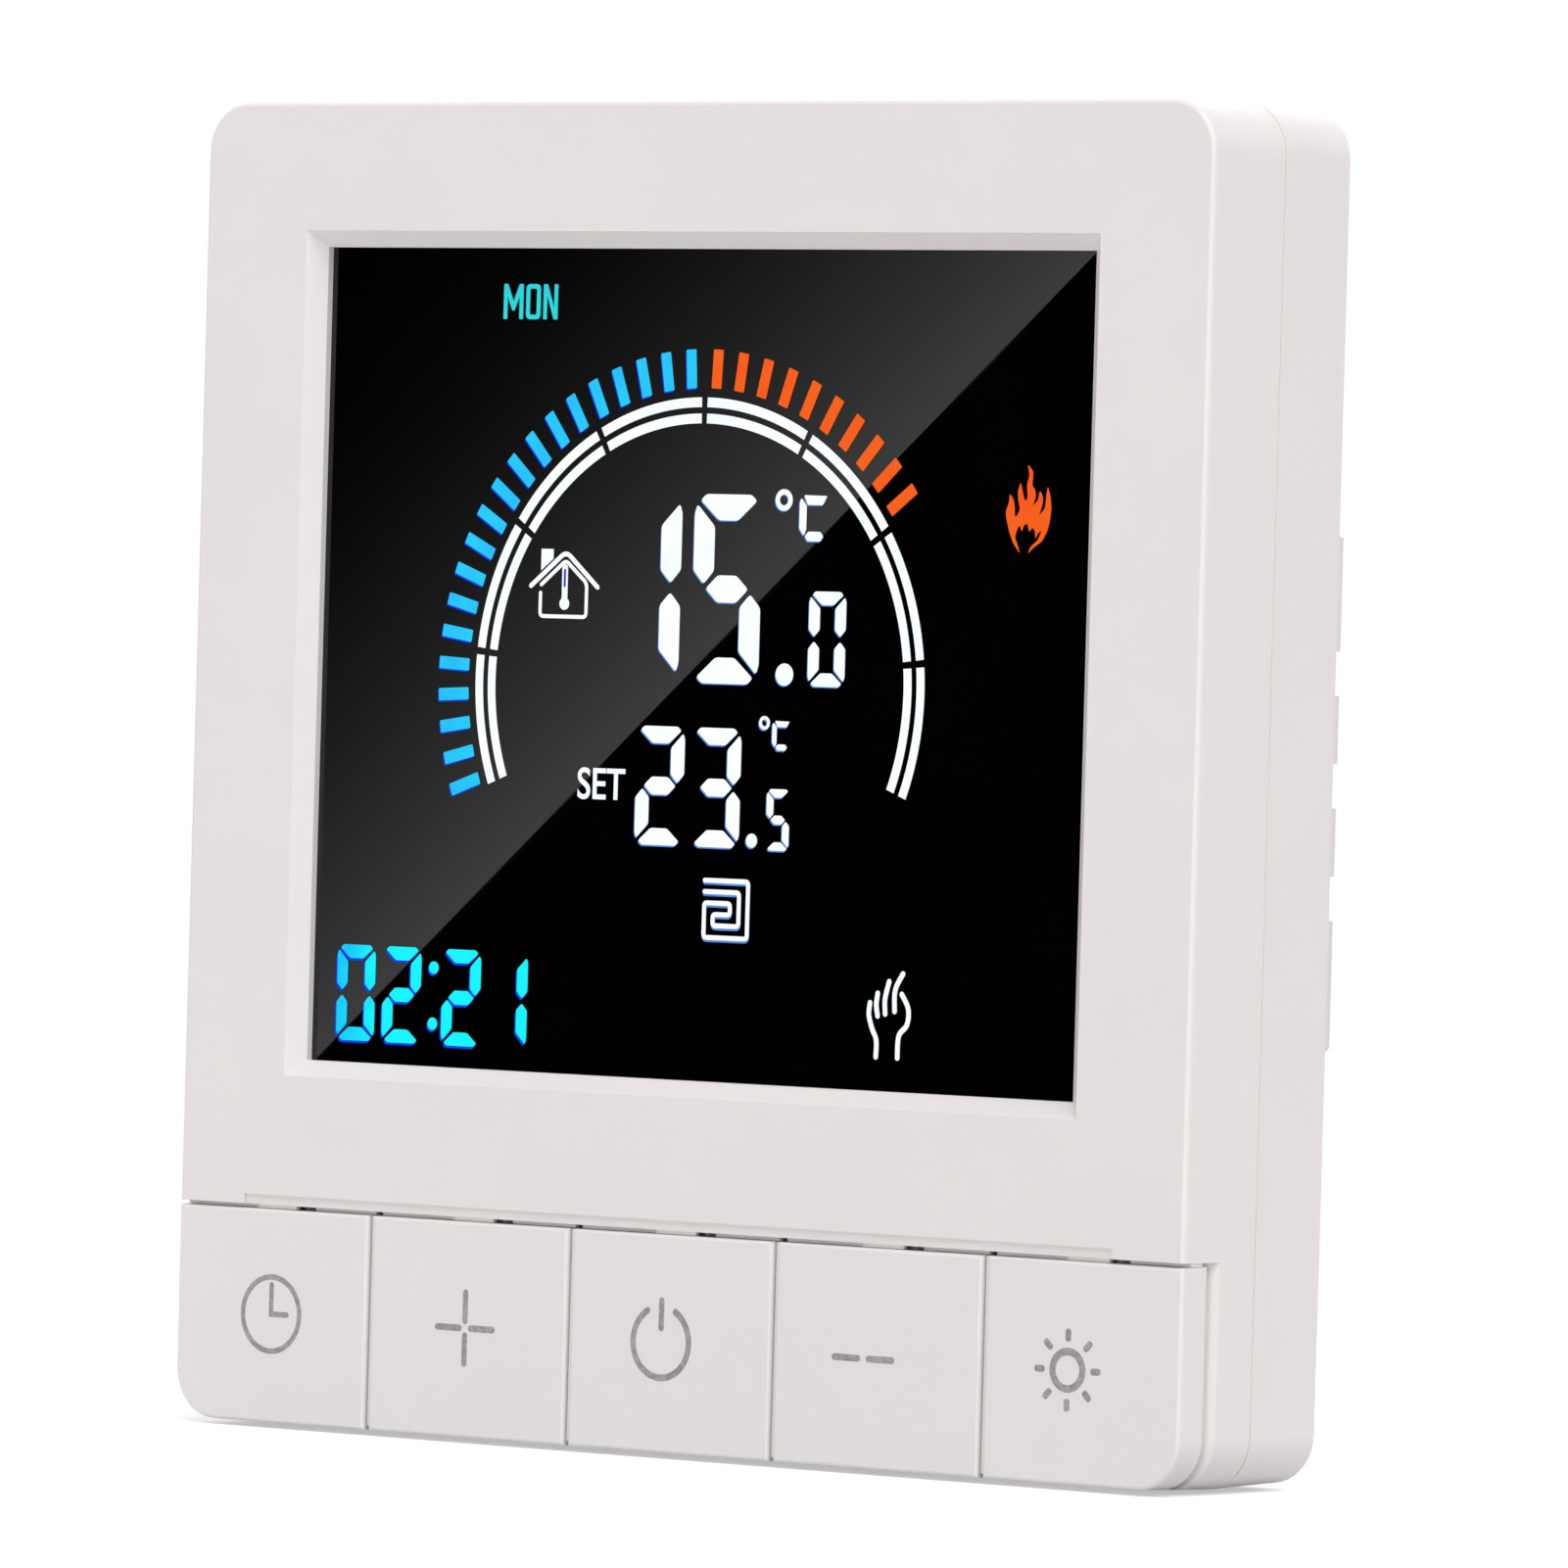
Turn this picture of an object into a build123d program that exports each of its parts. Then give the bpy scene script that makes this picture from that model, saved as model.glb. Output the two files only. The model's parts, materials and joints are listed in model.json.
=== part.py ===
from build123d import *
from math import radians, sqrt, tan
import os

os.makedirs("parts", exist_ok=True)

# Wall thermostat. X is to the right, Z is up and the front faces -Y. The origin is the centre of the
# face that lies on the wall. Depths are counted from the front face towards the wall.

# Case outline and walls
case_width = 86.0
case_height = 90.0
corner_radius = 3.4
draft = 1.5
edge_round = 0.35
cover_depth = 7.4
base_depth = 7.25
seam_gap = 0.15
front_wall = 1.6
cover_wall = 1.8
base_wall = 2.6
back_wall = 2.0
rim_height = 1.2
rim_clearance = 0.2

# Display window and lens
window_side_margin = 10.15
window_top_margin = 9.8
window_key_margin = 10.25
window_bevel = 1.1
lens_overlap = 1.5
lens_thickness = 1.4
lip_side_margin = 5.8
lip_height = 0.68
lip_depth = 0.2

# Keys in the row along the lower edge
key_names = ["time", "plus", "power", "minus", "light"]
key_pitch = 17.55
key_row_shift = 0.48
key_gap = 0.42
key_height = 14.55
key_slit = 0.28
key_thickness = 2.44
key_back_gap = 0.63
key_round = 0.3
ledge_thickness = 1.33
ledge_chamfer = 0.75
ledge_overlap = 0.9

# Hinge of the keys: arms on one common rod
arm_width = 2.9
arm_thickness = 0.8
arm_root = 2.0
arm_clearance = 0.5
pivot_rise = 3.05
knuckle_radius = 1.5
rod_radius = 0.75
rod_overhang = 0.7
running_clearance = 0.05
lug_thickness = 1.6
lug_gap = 0.3

# Push switches under the keys
switch_size = 6.0
switch_height = 3.1
switch_gap = 0.5
switch_drop = 7.55
plunger_radius = 1.75
plunger_reach = 0.8
plunger_sink = 2.1
plunger_travel = 0.6
stem_radius = 1.4
stem_gap = 0.1
stem_hole_clearance = 0.65

# Display stack and control board
board_thickness = 1.6
board_gap = 0.6
board_corner = 2.0
panel_margin = 0.65
panel_thickness = 1.8
panel_gap = 0.2
frame_wall = 1.4
frame_clearance = 0.1
strip_height = 2.4
lamp_length = 3.0
lamp_height = 1.2
lamp_count = 4
lamp_pitch = 16.0
stack_gap = 0.4
boss_radius = 2.1
boss_gap = 0.45
boss_inset = 6.5

# Small parts on the back of the control board
chip_size = 10.0
chip_x = -14.0
chip_thickness = 1.4
crystal_radius = 1.0
crystal_length = 6.0
crystal_gap = 2.0
cell_radius = 5.0
cell_thickness = 2.0
cell_x = 14.0
side_part_gap = 0.6
bead_radius = 1.3
bead_lead_radius = 0.25
bead_lead_pitch = 1.2
bead_lead_length = 0.3
bead_inset = 2.6

# Screws
screw_radius = 1.0
screw_head_radius = 1.8
screw_head_height = 1.0
screw_slot_width = 0.5
screw_slot_depth = 0.5
screw_play = 0.05
board_screw_grip = 4.0
cover_screw_grip = 1.5
power_screw_grip = 5.0

# Rear box that goes into the wall box
box_width = 50.0
box_height = 50.0
box_depth = 25.6
box_corner = 7.7
box_wall = 1.8
box_round = 0.8
box_fit = 0.05
box_flange = 0.8
flange_overlap = 0.5
safety_thickness = 1.2
safety_corner = 2.0
safety_screw_inset = 3.2
safety_head_height = 0.7
power_gap = 0.7
post_height = 13.0
post_radius = 2.2
post_inset_x = 8.0
post_inset_z = 3.0

# Wall screw slots and air slots
wall_screw_spacing = 60.0
wall_slot_length = 8.0
wall_slot_width = 4.2
vent_width = 1.4
vent_length = 2.6
vent_pitch = 4.0
vent_count = 7

# Terminal blocks, three poles on each side of the box
pole_pitch = 7.62
pole_count = 3
pole_lift = 0.45
block_width = 10.2
block_depth = 11.0
block_end = 1.0
block_gap = 0.7
wire_slot_width = 3.0
wire_slot_depth = 12.0
driver_hole_radius = 2.4
terminal_head_radius = 1.9
terminal_head_height = 2.0
terminal_head_sink = 0.4
terminal_shank_radius = 1.25
terminal_shank_length = 4.2
terminal_web = 0.8
terminal_float = 0.1
clamp_size = 5.0
clamp_depth = 4.6
clamp_wall = 0.9
clamp_gap = 0.3
clamp_rise = 1.7
wire_entry_width = 3.4
wire_entry_height = 3.8

# Parts on the power board
relay_width = 18.0
relay_height = 15.0
relay_depth = 10.5
relay_x = -8.0
relay_z = 3.0
transformer_height = 18.0
transformer_depth = 12.0
transformer_gap = 2.0
coil_bulge = 1.5
capacitor_radius = 4.2
capacitor_depth = 10.5
capacitor_x = -8.0
capacitor_z = -13.0
film_width = 13.0
film_height = 6.0
film_depth = 9.5
film_x = 9.0
film_z = -12.0
varistor_radius = 4.5
varistor_thickness = 3.0
varistor_lead_radius = 0.4
varistor_lead_pitch = 5.0
varistor_lift = 0.6
varistor_x = 9.0
varistor_z = 3.0

# Link between the two boards
link_z = 18.0
pin_pitch = 2.54
pin_columns = 5
pin_rows = 2
pin_size = 0.64
pin_hole_size = 0.9
pin_play = 0.03
pin_engagement = 6.0
pin_tail = 0.8
link_margin = 0.2
socket_depth = 8.5
header_depth = 2.5
link_gap = 0.9

# Worked-out depths, from the front face
shell_depth = cover_depth + seam_gap + base_depth
seam_back = cover_depth + seam_gap
recess_depth = key_thickness + key_back_gap
ledge_back = recess_depth + ledge_thickness
pivot_depth = front_wall + arm_clearance + knuckle_radius
lug_back = pivot_depth + knuckle_radius
lens_back = front_wall + lens_thickness
panel_front = lens_back + panel_gap
panel_back = panel_front + panel_thickness
switch_front = ledge_back + switch_gap
plunger_tip = switch_front - plunger_reach
stem_tip = plunger_tip - stem_gap
board_front = switch_front + switch_height
board_back = board_front + board_thickness
base_floor = shell_depth - back_wall
flange_front = base_floor - box_flange
safety_front = flange_front - safety_thickness
box_back = shell_depth + box_depth
box_floor = box_back - box_wall
power_back = box_floor - post_height
power_front = power_back - board_thickness
block_back = power_back + block_depth
head_top = block_back - terminal_head_sink
head_bottom = head_top - terminal_head_height
web_back = head_bottom - terminal_float
web_front = web_back - terminal_web
clamp_back = web_front - clamp_rise
clamp_front = clamp_back - clamp_depth
socket_back = board_back + socket_depth
header_front = power_front - header_depth
pin_front = socket_back - pin_engagement

# Worked-out places across the front
flare = cover_depth * tan(radians(draft))
key_flare = key_thickness * tan(radians(draft))
cavity_width = case_width - 2 * cover_wall
cavity_height = case_height - 2 * cover_wall
cavity_corner = max(corner_radius - cover_wall, edge_round)
base_inner_width = case_width - 2 * base_wall
base_inner_height = case_height - 2 * base_wall
base_inner_corner = max(corner_radius - base_wall, edge_round)
key_top = key_height - case_height / 2
window_width = case_width - 2 * window_side_margin
window_top = case_height / 2 - window_top_margin
window_bottom = key_top + window_key_margin
window_height = window_top - window_bottom
window_lift = (window_top + window_bottom) / 2
lip_length = case_width - 2 * lip_side_margin
recess_top = key_top + key_slit
ledge_top = recess_top + ledge_overlap
pivot_y = pivot_depth - shell_depth
pivot_z = key_top + pivot_rise
switch_z = key_top - switch_drop
lug_offset = arm_width / 2 + lug_gap + lug_thickness / 2
panel_width = window_width + 2 * panel_margin
panel_height = window_height + 2 * panel_margin
frame_width = panel_width + 2 * (frame_clearance + frame_wall)
frame_height = panel_height + 2 * (frame_clearance + frame_wall)
board_width = base_inner_width - 2 * board_gap
board_height = base_inner_height - 2 * board_gap
safety_width = box_width + 2 * flange_overlap
safety_height = box_height + 2 * flange_overlap
box_inner_width = box_width - 2 * box_wall
box_inner_height = box_height - 2 * box_wall
box_inner_corner = box_corner - box_wall * (2 - sqrt(2))
power_width = box_inner_width - 2 * power_gap
power_height = box_inner_height - 2 * power_gap
block_height = pole_pitch * pole_count + block_end
block_x = box_inner_width / 2 - block_gap - block_width / 2
link_width = pin_pitch * pin_columns + link_margin
link_height = pin_pitch * pin_rows + link_margin
post_x = box_inner_width / 2 - post_inset_x
post_z = box_inner_height / 2 - post_inset_z
side_part_bottom = safety_height / 2 + side_part_gap
chip_z = side_part_bottom + chip_size / 2
cell_z = side_part_bottom + cell_radius
crystal_x = chip_x - chip_size / 2 - crystal_gap - crystal_radius

# The gaps between keys, and from them the left end, right end and middle of each key
gap_places = [key_row_shift + key_pitch * (i - (len(key_names) - 2) / 2) for i in range(len(key_names) - 1)]
key_lefts = [-case_width / 2] + [g + key_gap / 2 for g in gap_places]
key_rights = [g - key_gap / 2 for g in gap_places] + [case_width / 2]
key_middles = [(a + b) / 2 for a, b in zip(key_lefts, key_rights)]
rod_left = key_middles[0] - lug_offset - lug_thickness / 2 - rod_overhang
rod_right = key_middles[-1] + lug_offset + lug_thickness / 2 + rod_overhang

# The four board screws: two in the upper corners, two below the display between the keys
upper_screw_z = window_lift + frame_height / 2 + boss_gap + boss_radius
lower_screw_z = window_lift - frame_height / 2 - boss_gap - boss_radius
upper_screw_x = case_width / 2 - boss_inset
board_screws = [
    (-upper_screw_x, upper_screw_z),
    (upper_screw_x, upper_screw_z),
    (gap_places[0], lower_screw_z),
    (gap_places[-1], lower_screw_z),
]
safety_screw_x = safety_width / 2 - safety_screw_inset
safety_screw_z = safety_height / 2 - safety_screw_inset
safety_screws = [(x, z) for x in (-safety_screw_x, safety_screw_x) for z in (-safety_screw_z, safety_screw_z)]
power_screws = [(x, z) for x in (-post_x, post_x) for z in (-post_z, post_z)]
pole_heights = [pole_lift + pole_pitch * (i - (pole_count - 1) / 2) for i in range(pole_count)]


def level(depth):
    """The plane at this depth behind the front face, drawn in X and Z and facing the front."""
    return Plane.XZ.offset(shell_depth - depth)


def save(piece, name):
    """Label a finished piece and write it."""
    piece.part.label = name
    export_step(piece.part, f"parts/{name}.step")


def block(x, z, width, height, front, back):
    """A plain block centred at x, z between two depths."""
    with BuildPart() as piece:
        with BuildSketch(level(back)):
            with Locations((x, z)):
                Rectangle(width, height)
        extrude(amount=back - front)
    return piece


def screws(places, seat, grip):
    """Slotted screws seen from the wall side, heads behind the seat depth, shanks towards the front."""
    with BuildPart() as piece:
        with BuildSketch(level(seat + screw_head_height)):
            with Locations(*places):
                Circle(screw_head_radius)
        extrude(amount=screw_head_height)
        with BuildSketch(level(seat)):
            with Locations(*places):
                Circle(screw_radius)
        extrude(amount=grip)
        with BuildSketch(level(seat + screw_head_height)):
            with Locations(*places):
                Rectangle(2 * screw_head_radius, screw_slot_width)
        extrude(amount=screw_slot_depth, mode=Mode.SUBTRACT)
    return piece


def front_screws(places, seat, grip, head_height):
    """Slotted screws driven from the front, heads before the seat depth, shanks towards the wall."""
    with BuildPart() as piece:
        with BuildSketch(level(seat)):
            with Locations(*places):
                Circle(screw_head_radius)
        extrude(amount=head_height)
        with BuildSketch(level(seat + grip)):
            with Locations(*places):
                Circle(screw_radius)
        extrude(amount=grip)
        with BuildSketch(level(seat - head_height)):
            with Locations(*places):
                Rectangle(2 * screw_head_radius, screw_slot_width)
        extrude(amount=-screw_slot_depth, mode=Mode.SUBTRACT)
    return piece


# Front cover
with BuildPart() as front_cover:
    with BuildSketch(level(cover_depth)):
        RectangleRounded(case_width + 2 * flare, case_height + 2 * flare, corner_radius + flare)
    extrude(amount=cover_depth, taper=draft)
    with BuildSketch(level(cover_depth)):
        RectangleRounded(cavity_width, cavity_height, cavity_corner)
    extrude(amount=cover_depth - front_wall, mode=Mode.SUBTRACT)
    # the key row's recess, with the ledge behind it
    with BuildSketch(level(0)):
        with Locations((0, recess_top)):
            Rectangle(2 * case_width, case_height, align=(Align.CENTER, Align.MAX))
    extrude(amount=-recess_depth, mode=Mode.SUBTRACT)
    with BuildSketch(level(ledge_back)):
        RectangleRounded(cavity_width, cavity_height, cavity_corner)
        with Locations((0, ledge_top)):
            Rectangle(case_width, case_height, align=(Align.CENTER, Align.MAX), mode=Mode.INTERSECT)
    extrude(amount=ledge_thickness)
    shoulder = front_cover.faces().filter_by(Axis.Y).filter_by_position(
        Axis.Y, recess_depth - shell_depth - 0.01, recess_depth - shell_depth + 0.01
    )
    shoulder_rim = shoulder.sort_by(SortBy.AREA)[-1].outer_wire().edges()
    chamfer([e for e in shoulder_rim if e.center().Z < recess_top - key_slit], ledge_chamfer)
    front_rim = front_cover.faces().sort_by(Axis.Y)[0].outer_wire().edges()
    fillet([e for e in front_rim if e.center().Z > recess_top + key_slit], edge_round)
    # the window with its bevel, and the shallow strip along the lower edge
    with BuildSketch(level(0)):
        with Locations((0, window_lift)):
            Rectangle(window_width, window_height)
    extrude(amount=-front_wall, mode=Mode.SUBTRACT)
    chamfer(front_cover.faces().sort_by(Axis.Y)[0].inner_wires()[0].edges(), window_bevel)
    with BuildSketch(level(0)):
        with Locations((0, recess_top)):
            Rectangle(lip_length, lip_height, align=(Align.CENTER, Align.MIN))
    extrude(amount=-lip_depth, mode=Mode.SUBTRACT)
    # bosses for the control board
    with BuildSketch(level(board_front)):
        with Locations(*board_screws):
            Circle(boss_radius)
    extrude(amount=board_front - front_wall)
    with BuildSketch(level(board_front)):
        with Locations(*board_screws):
            Circle(screw_radius + screw_play)
    extrude(amount=board_screw_grip + screw_play, mode=Mode.SUBTRACT)
    # lugs that carry the hinge rod
    with BuildSketch(level(lug_back)):
        for middle in key_middles:
            with Locations((middle - lug_offset, pivot_z), (middle + lug_offset, pivot_z)):
                Rectangle(lug_thickness, 2 * knuckle_radius)
    extrude(amount=lug_back - front_wall)
    with BuildSketch(Plane.YZ.offset(rod_left)):
        with Locations((pivot_y, pivot_z)):
            Circle(rod_radius + screw_play)
    extrude(amount=rod_right - rod_left, mode=Mode.SUBTRACT)
    # ways through the ledge for the arms and the stems
    with BuildSketch(level(ledge_back)):
        for middle in key_middles:
            with Locations((middle, ledge_top)):
                Rectangle(
                    arm_width + 2 * arm_clearance,
                    ledge_top - key_top + arm_root + arm_clearance,
                    align=(Align.CENTER, Align.MAX),
                )
            with Locations((middle, switch_z)):
                Circle(plunger_radius + stem_hole_clearance)
    extrude(amount=ledge_thickness, mode=Mode.SUBTRACT)
save(front_cover, "front_cover")

# Lens glued behind the window
display_lens = block(
    0, window_lift, window_width + 2 * lens_overlap, window_height + 2 * lens_overlap, front_wall, lens_back
)
save(display_lens, "display_lens")

# Display panel, its frame, the contact strip along its lower edge, the light guide and its lamps
lcd_panel = block(0, window_lift, panel_width, panel_height, panel_front, panel_back)
save(lcd_panel, "lcd_panel")

with BuildPart() as lcd_frame:
    with BuildSketch(level(board_front)):
        with Locations((0, window_lift)):
            RectangleRounded(frame_width, frame_height, frame_wall)
            Rectangle(
                panel_width + 2 * frame_clearance, panel_height + 2 * frame_clearance, mode=Mode.SUBTRACT
            )
    extrude(amount=board_front - panel_front)
save(lcd_frame, "lcd_frame")

panel_bottom = window_lift - panel_height / 2
panel_top = window_lift + panel_height / 2
contact_strip = block(
    0, panel_bottom + strip_height / 2, window_width, strip_height, panel_back, board_front
)
save(contact_strip, "contact_strip")

guide_bottom = panel_bottom + strip_height + stack_gap
guide_top = panel_top - lamp_height - stack_gap
light_guide = block(
    0, (guide_bottom + guide_top) / 2, window_width, guide_top - guide_bottom, panel_back, board_front
)
save(light_guide, "light_guide")

with BuildPart() as backlight_lamps:
    with BuildSketch(level(board_front)):
        with Locations((0, panel_top - lamp_height / 2)):
            with GridLocations(lamp_pitch, 0, lamp_count, 1):
                Rectangle(lamp_length, lamp_height)
    extrude(amount=board_front - panel_back - stack_gap)
save(backlight_lamps, "backlight_lamps")

# Control board with its screws
with BuildPart() as control_board:
    with BuildSketch(level(board_back)):
        RectangleRounded(board_width, board_height, board_corner)
        with Locations(*board_screws):
            Circle(screw_radius + screw_play, mode=Mode.SUBTRACT)
    extrude(amount=board_thickness)
save(control_board, "control_board")
save(screws(board_screws, board_back, board_thickness + board_screw_grip), "control_board_screws")

# Parts on the back of the control board
microcontroller = block(chip_x, chip_z, chip_size, chip_size, board_back, board_back + chip_thickness)
save(microcontroller, "microcontroller")

with BuildPart() as clock_crystal:
    with BuildSketch(Plane.XY.offset(chip_z)):
        with Locations((crystal_x, board_back + crystal_radius - shell_depth)):
            Circle(crystal_radius)
    extrude(amount=crystal_length / 2, both=True)
save(clock_crystal, "clock_crystal")

with BuildPart() as clock_battery:
    with BuildSketch(level(board_back + cell_thickness)):
        with Locations((cell_x, cell_z)):
            Circle(cell_radius)
    extrude(amount=cell_thickness)
save(clock_battery, "clock_battery")

bead_z = bead_inset - board_height / 2
bead_depth = board_back + bead_lead_length + bead_radius
with BuildPart() as temperature_sensor:
    with BuildSketch(level(bead_depth)):
        with Locations((0, bead_z)):
            with GridLocations(bead_lead_pitch, 0, 2, 1):
                Circle(bead_lead_radius)
    extrude(amount=bead_depth - board_back)
    with Locations((0, bead_depth - shell_depth, bead_z)):
        Sphere(bead_radius)
save(temperature_sensor, "temperature_sensor")

# Hinge rod shared by the five keys
with BuildPart() as key_hinge_rod:
    with BuildSketch(Plane.YZ.offset(rod_left)):
        with Locations((pivot_y, pivot_z)):
            Circle(rod_radius)
    extrude(amount=rod_right - rod_left)
save(key_hinge_rod, "key_hinge_rod")

# Each key with its arm and stem, and the push switch and plunger under it
for name, left, right, middle in zip(key_names, key_lefts, key_rights, key_middles):
    with BuildPart() as key:
        with BuildSketch(level(key_thickness)):
            RectangleRounded(
                case_width + 2 * key_flare, case_height + 2 * key_flare, corner_radius + key_flare
            )
        extrude(amount=key_thickness, taper=draft)
        outer_left = left - cover_wall if name == key_names[0] else left
        outer_right = right + cover_wall if name == key_names[-1] else right
        with BuildSketch(level(key_thickness)):
            with Locations(((outer_left + outer_right) / 2, key_top)):
                Rectangle(outer_right - outer_left, case_height, align=(Align.CENTER, Align.MAX))
        extrude(amount=key_thickness, mode=Mode.INTERSECT)
        fillet(key.faces().sort_by(Axis.Y)[0].edges(), key_round)
        arm_front = front_wall + arm_clearance - shell_depth
        with BuildSketch(Plane.YZ.offset(middle - arm_width / 2)):
            with Locations((arm_front, pivot_z)):
                Rectangle(arm_thickness, pivot_rise + arm_root, align=(Align.MIN, Align.MAX))
            with Locations((pivot_y, pivot_z)):
                Circle(knuckle_radius)
                Circle(rod_radius + running_clearance, mode=Mode.SUBTRACT)
        extrude(amount=arm_width)
        with BuildSketch(level(stem_tip)):
            with Locations((middle, switch_z)):
                Circle(stem_radius)
        extrude(amount=stem_tip - key_thickness)
    save(key, f"key_{name}")

    with BuildPart() as switch_body:
        with BuildSketch(level(board_front)):
            with Locations((middle, switch_z)):
                Rectangle(switch_size, switch_size)
        extrude(amount=switch_height)
        with BuildSketch(level(switch_front)):
            with Locations((middle, switch_z)):
                Circle(plunger_radius + running_clearance)
        extrude(amount=-(plunger_sink + plunger_travel), mode=Mode.SUBTRACT)
    save(switch_body, f"switch_{name}")

    with BuildPart() as plunger:
        with BuildSketch(level(switch_front + plunger_sink)):
            with Locations((middle, switch_z)):
                Circle(plunger_radius)
        extrude(amount=plunger_sink + plunger_reach)
    save(plunger, f"plunger_{name}")

# Wall plate with its rim, the opening for the rear box and the slots for the wall screws
with BuildPart() as wall_plate:
    with BuildSketch(level(shell_depth)):
        RectangleRounded(case_width, case_height, corner_radius)
    extrude(amount=base_depth, taper=-draft)
    with BuildSketch(level(base_floor)):
        RectangleRounded(base_inner_width, base_inner_height, base_inner_corner)
    extrude(amount=base_depth - back_wall, mode=Mode.SUBTRACT)
    with BuildSketch(level(seam_back)):
        RectangleRounded(
            cavity_width - 2 * rim_clearance, cavity_height - 2 * rim_clearance, cavity_corner
        )
        RectangleRounded(base_inner_width, base_inner_height, base_inner_corner, mode=Mode.SUBTRACT)
    extrude(amount=rim_height)
    with BuildSketch(level(shell_depth)) as box_opening:
        Rectangle(box_width + 2 * box_fit, box_height + 2 * box_fit)
        chamfer(box_opening.vertices(), box_corner)
    extrude(amount=back_wall, mode=Mode.SUBTRACT)
    with BuildSketch(level(base_floor + cover_screw_grip + screw_play)):
        with Locations(*safety_screws):
            Circle(screw_radius + screw_play)
    extrude(amount=cover_screw_grip + screw_play, mode=Mode.SUBTRACT)
    with BuildSketch(level(shell_depth)):
        with GridLocations(wall_screw_spacing, 0, 2, 1):
            SlotOverall(wall_slot_length, wall_slot_width)
    extrude(amount=back_wall, mode=Mode.SUBTRACT)
    # air slots in the underside, below the temperature sensor
    with BuildSketch(Plane.XY.offset(-case_height / 2 - flare)):
        with Locations((0, (board_back + base_floor) / 2 - shell_depth)):
            with GridLocations(vent_pitch, 0, vent_count, 1):
                Rectangle(vent_width, vent_length)
    extrude(amount=base_wall + 2 * flare, mode=Mode.SUBTRACT)
save(wall_plate, "wall_plate")

# Rear box, hung in the wall plate's opening by the flange round its mouth
with BuildPart() as rear_box:
    with BuildSketch(level(box_back)) as box_outline:
        Rectangle(box_width, box_height)
        chamfer(box_outline.vertices(), box_corner)
    extrude(amount=box_back - base_floor)
    fillet(rear_box.faces().sort_by(Axis.Y)[-1].edges(), box_round)
    with BuildSketch(level(base_floor)):
        RectangleRounded(safety_width, safety_height, safety_corner)
        with Locations(*safety_screws):
            Circle(screw_radius + screw_play, mode=Mode.SUBTRACT)
    extrude(amount=box_flange)
    with BuildSketch(level(box_floor)) as box_hollow:
        Rectangle(box_inner_width, box_inner_height)
        chamfer(box_hollow.vertices(), box_inner_corner)
    extrude(amount=box_floor - flange_front, mode=Mode.SUBTRACT)
    # posts for the power board
    with BuildSketch(level(box_floor)):
        with Locations(*power_screws):
            Circle(post_radius)
    extrude(amount=post_height)
    with BuildSketch(level(power_back + power_screw_grip + screw_play)):
        with Locations(*power_screws):
            Circle(screw_radius + screw_play)
    extrude(amount=power_screw_grip + screw_play, mode=Mode.SUBTRACT)
    # wire slots in both sides, and driver holes over the terminal screws
    with BuildSketch(level(box_back)):
        for height in pole_heights:
            for side in (-1, 1):
                with Locations((side * box_width / 2, height)):
                    Rectangle(2 * (box_wall + block_gap), wire_slot_width)
                with Locations((side * block_x, height)):
                    Circle(driver_hole_radius)
    extrude(amount=wire_slot_depth, mode=Mode.SUBTRACT)
save(rear_box, "rear_box")

# Safety cover over the box, with its screws
with BuildPart() as safety_cover:
    with BuildSketch(level(flange_front)):
        RectangleRounded(safety_width, safety_height, safety_corner)
        with Locations(*safety_screws):
            Circle(screw_radius + screw_play, mode=Mode.SUBTRACT)
        with Locations((0, link_z)):
            Rectangle(link_width + 2 * link_gap, link_height + 2 * link_gap, mode=Mode.SUBTRACT)
    extrude(amount=safety_thickness)
save(safety_cover, "safety_cover")
safety_grip = safety_thickness + box_flange + cover_screw_grip
save(front_screws(safety_screws, safety_front, safety_grip, safety_head_height), "safety_cover_screws")

# Power board, with its screws
with BuildPart() as power_board:
    with BuildSketch(level(power_back)) as power_outline:
        Rectangle(power_width, power_height)
        chamfer(power_outline.vertices(), box_inner_corner)
        with Locations(*power_screws):
            Circle(screw_radius + screw_play, mode=Mode.SUBTRACT)
        with Locations((0, link_z)):
            with GridLocations(pin_pitch, pin_pitch, pin_columns, pin_rows):
                Rectangle(pin_size + 2 * pin_play, pin_size + 2 * pin_play, mode=Mode.SUBTRACT)
    extrude(amount=board_thickness)
save(power_board, "power_board")
power_grip = board_thickness + power_screw_grip
save(front_screws(power_screws, power_front, power_grip, screw_head_height), "power_board_screws")

# Parts on the power board
relay = block(relay_x, relay_z, relay_width, relay_height, power_front - relay_depth, power_front)
save(relay, "relay")

transformer_width = 2 * (block_x - block_width / 2 - transformer_gap)
with BuildPart() as transformer:
    with BuildSketch(level(power_back + transformer_depth)):
        Rectangle(transformer_width, transformer_height - 2 * coil_bulge)
    extrude(amount=transformer_depth)
    with BuildSketch(level(power_back + transformer_depth - coil_bulge)):
        RectangleRounded(transformer_width - 4 * coil_bulge, transformer_height, coil_bulge)
    extrude(amount=transformer_depth - 2 * coil_bulge)
save(transformer, "transformer")

with BuildPart() as smoothing_capacitor:
    with BuildSketch(level(power_front)):
        with Locations((capacitor_x, capacitor_z)):
            Circle(capacitor_radius)
    extrude(amount=capacitor_depth)
    fillet(smoothing_capacitor.edges().filter_by(GeomType.CIRCLE), edge_round)
save(smoothing_capacitor, "smoothing_capacitor")

safety_capacitor = block(film_x, film_z, film_width, film_height, power_front - film_depth, power_front)
save(safety_capacitor, "safety_capacitor")

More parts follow.
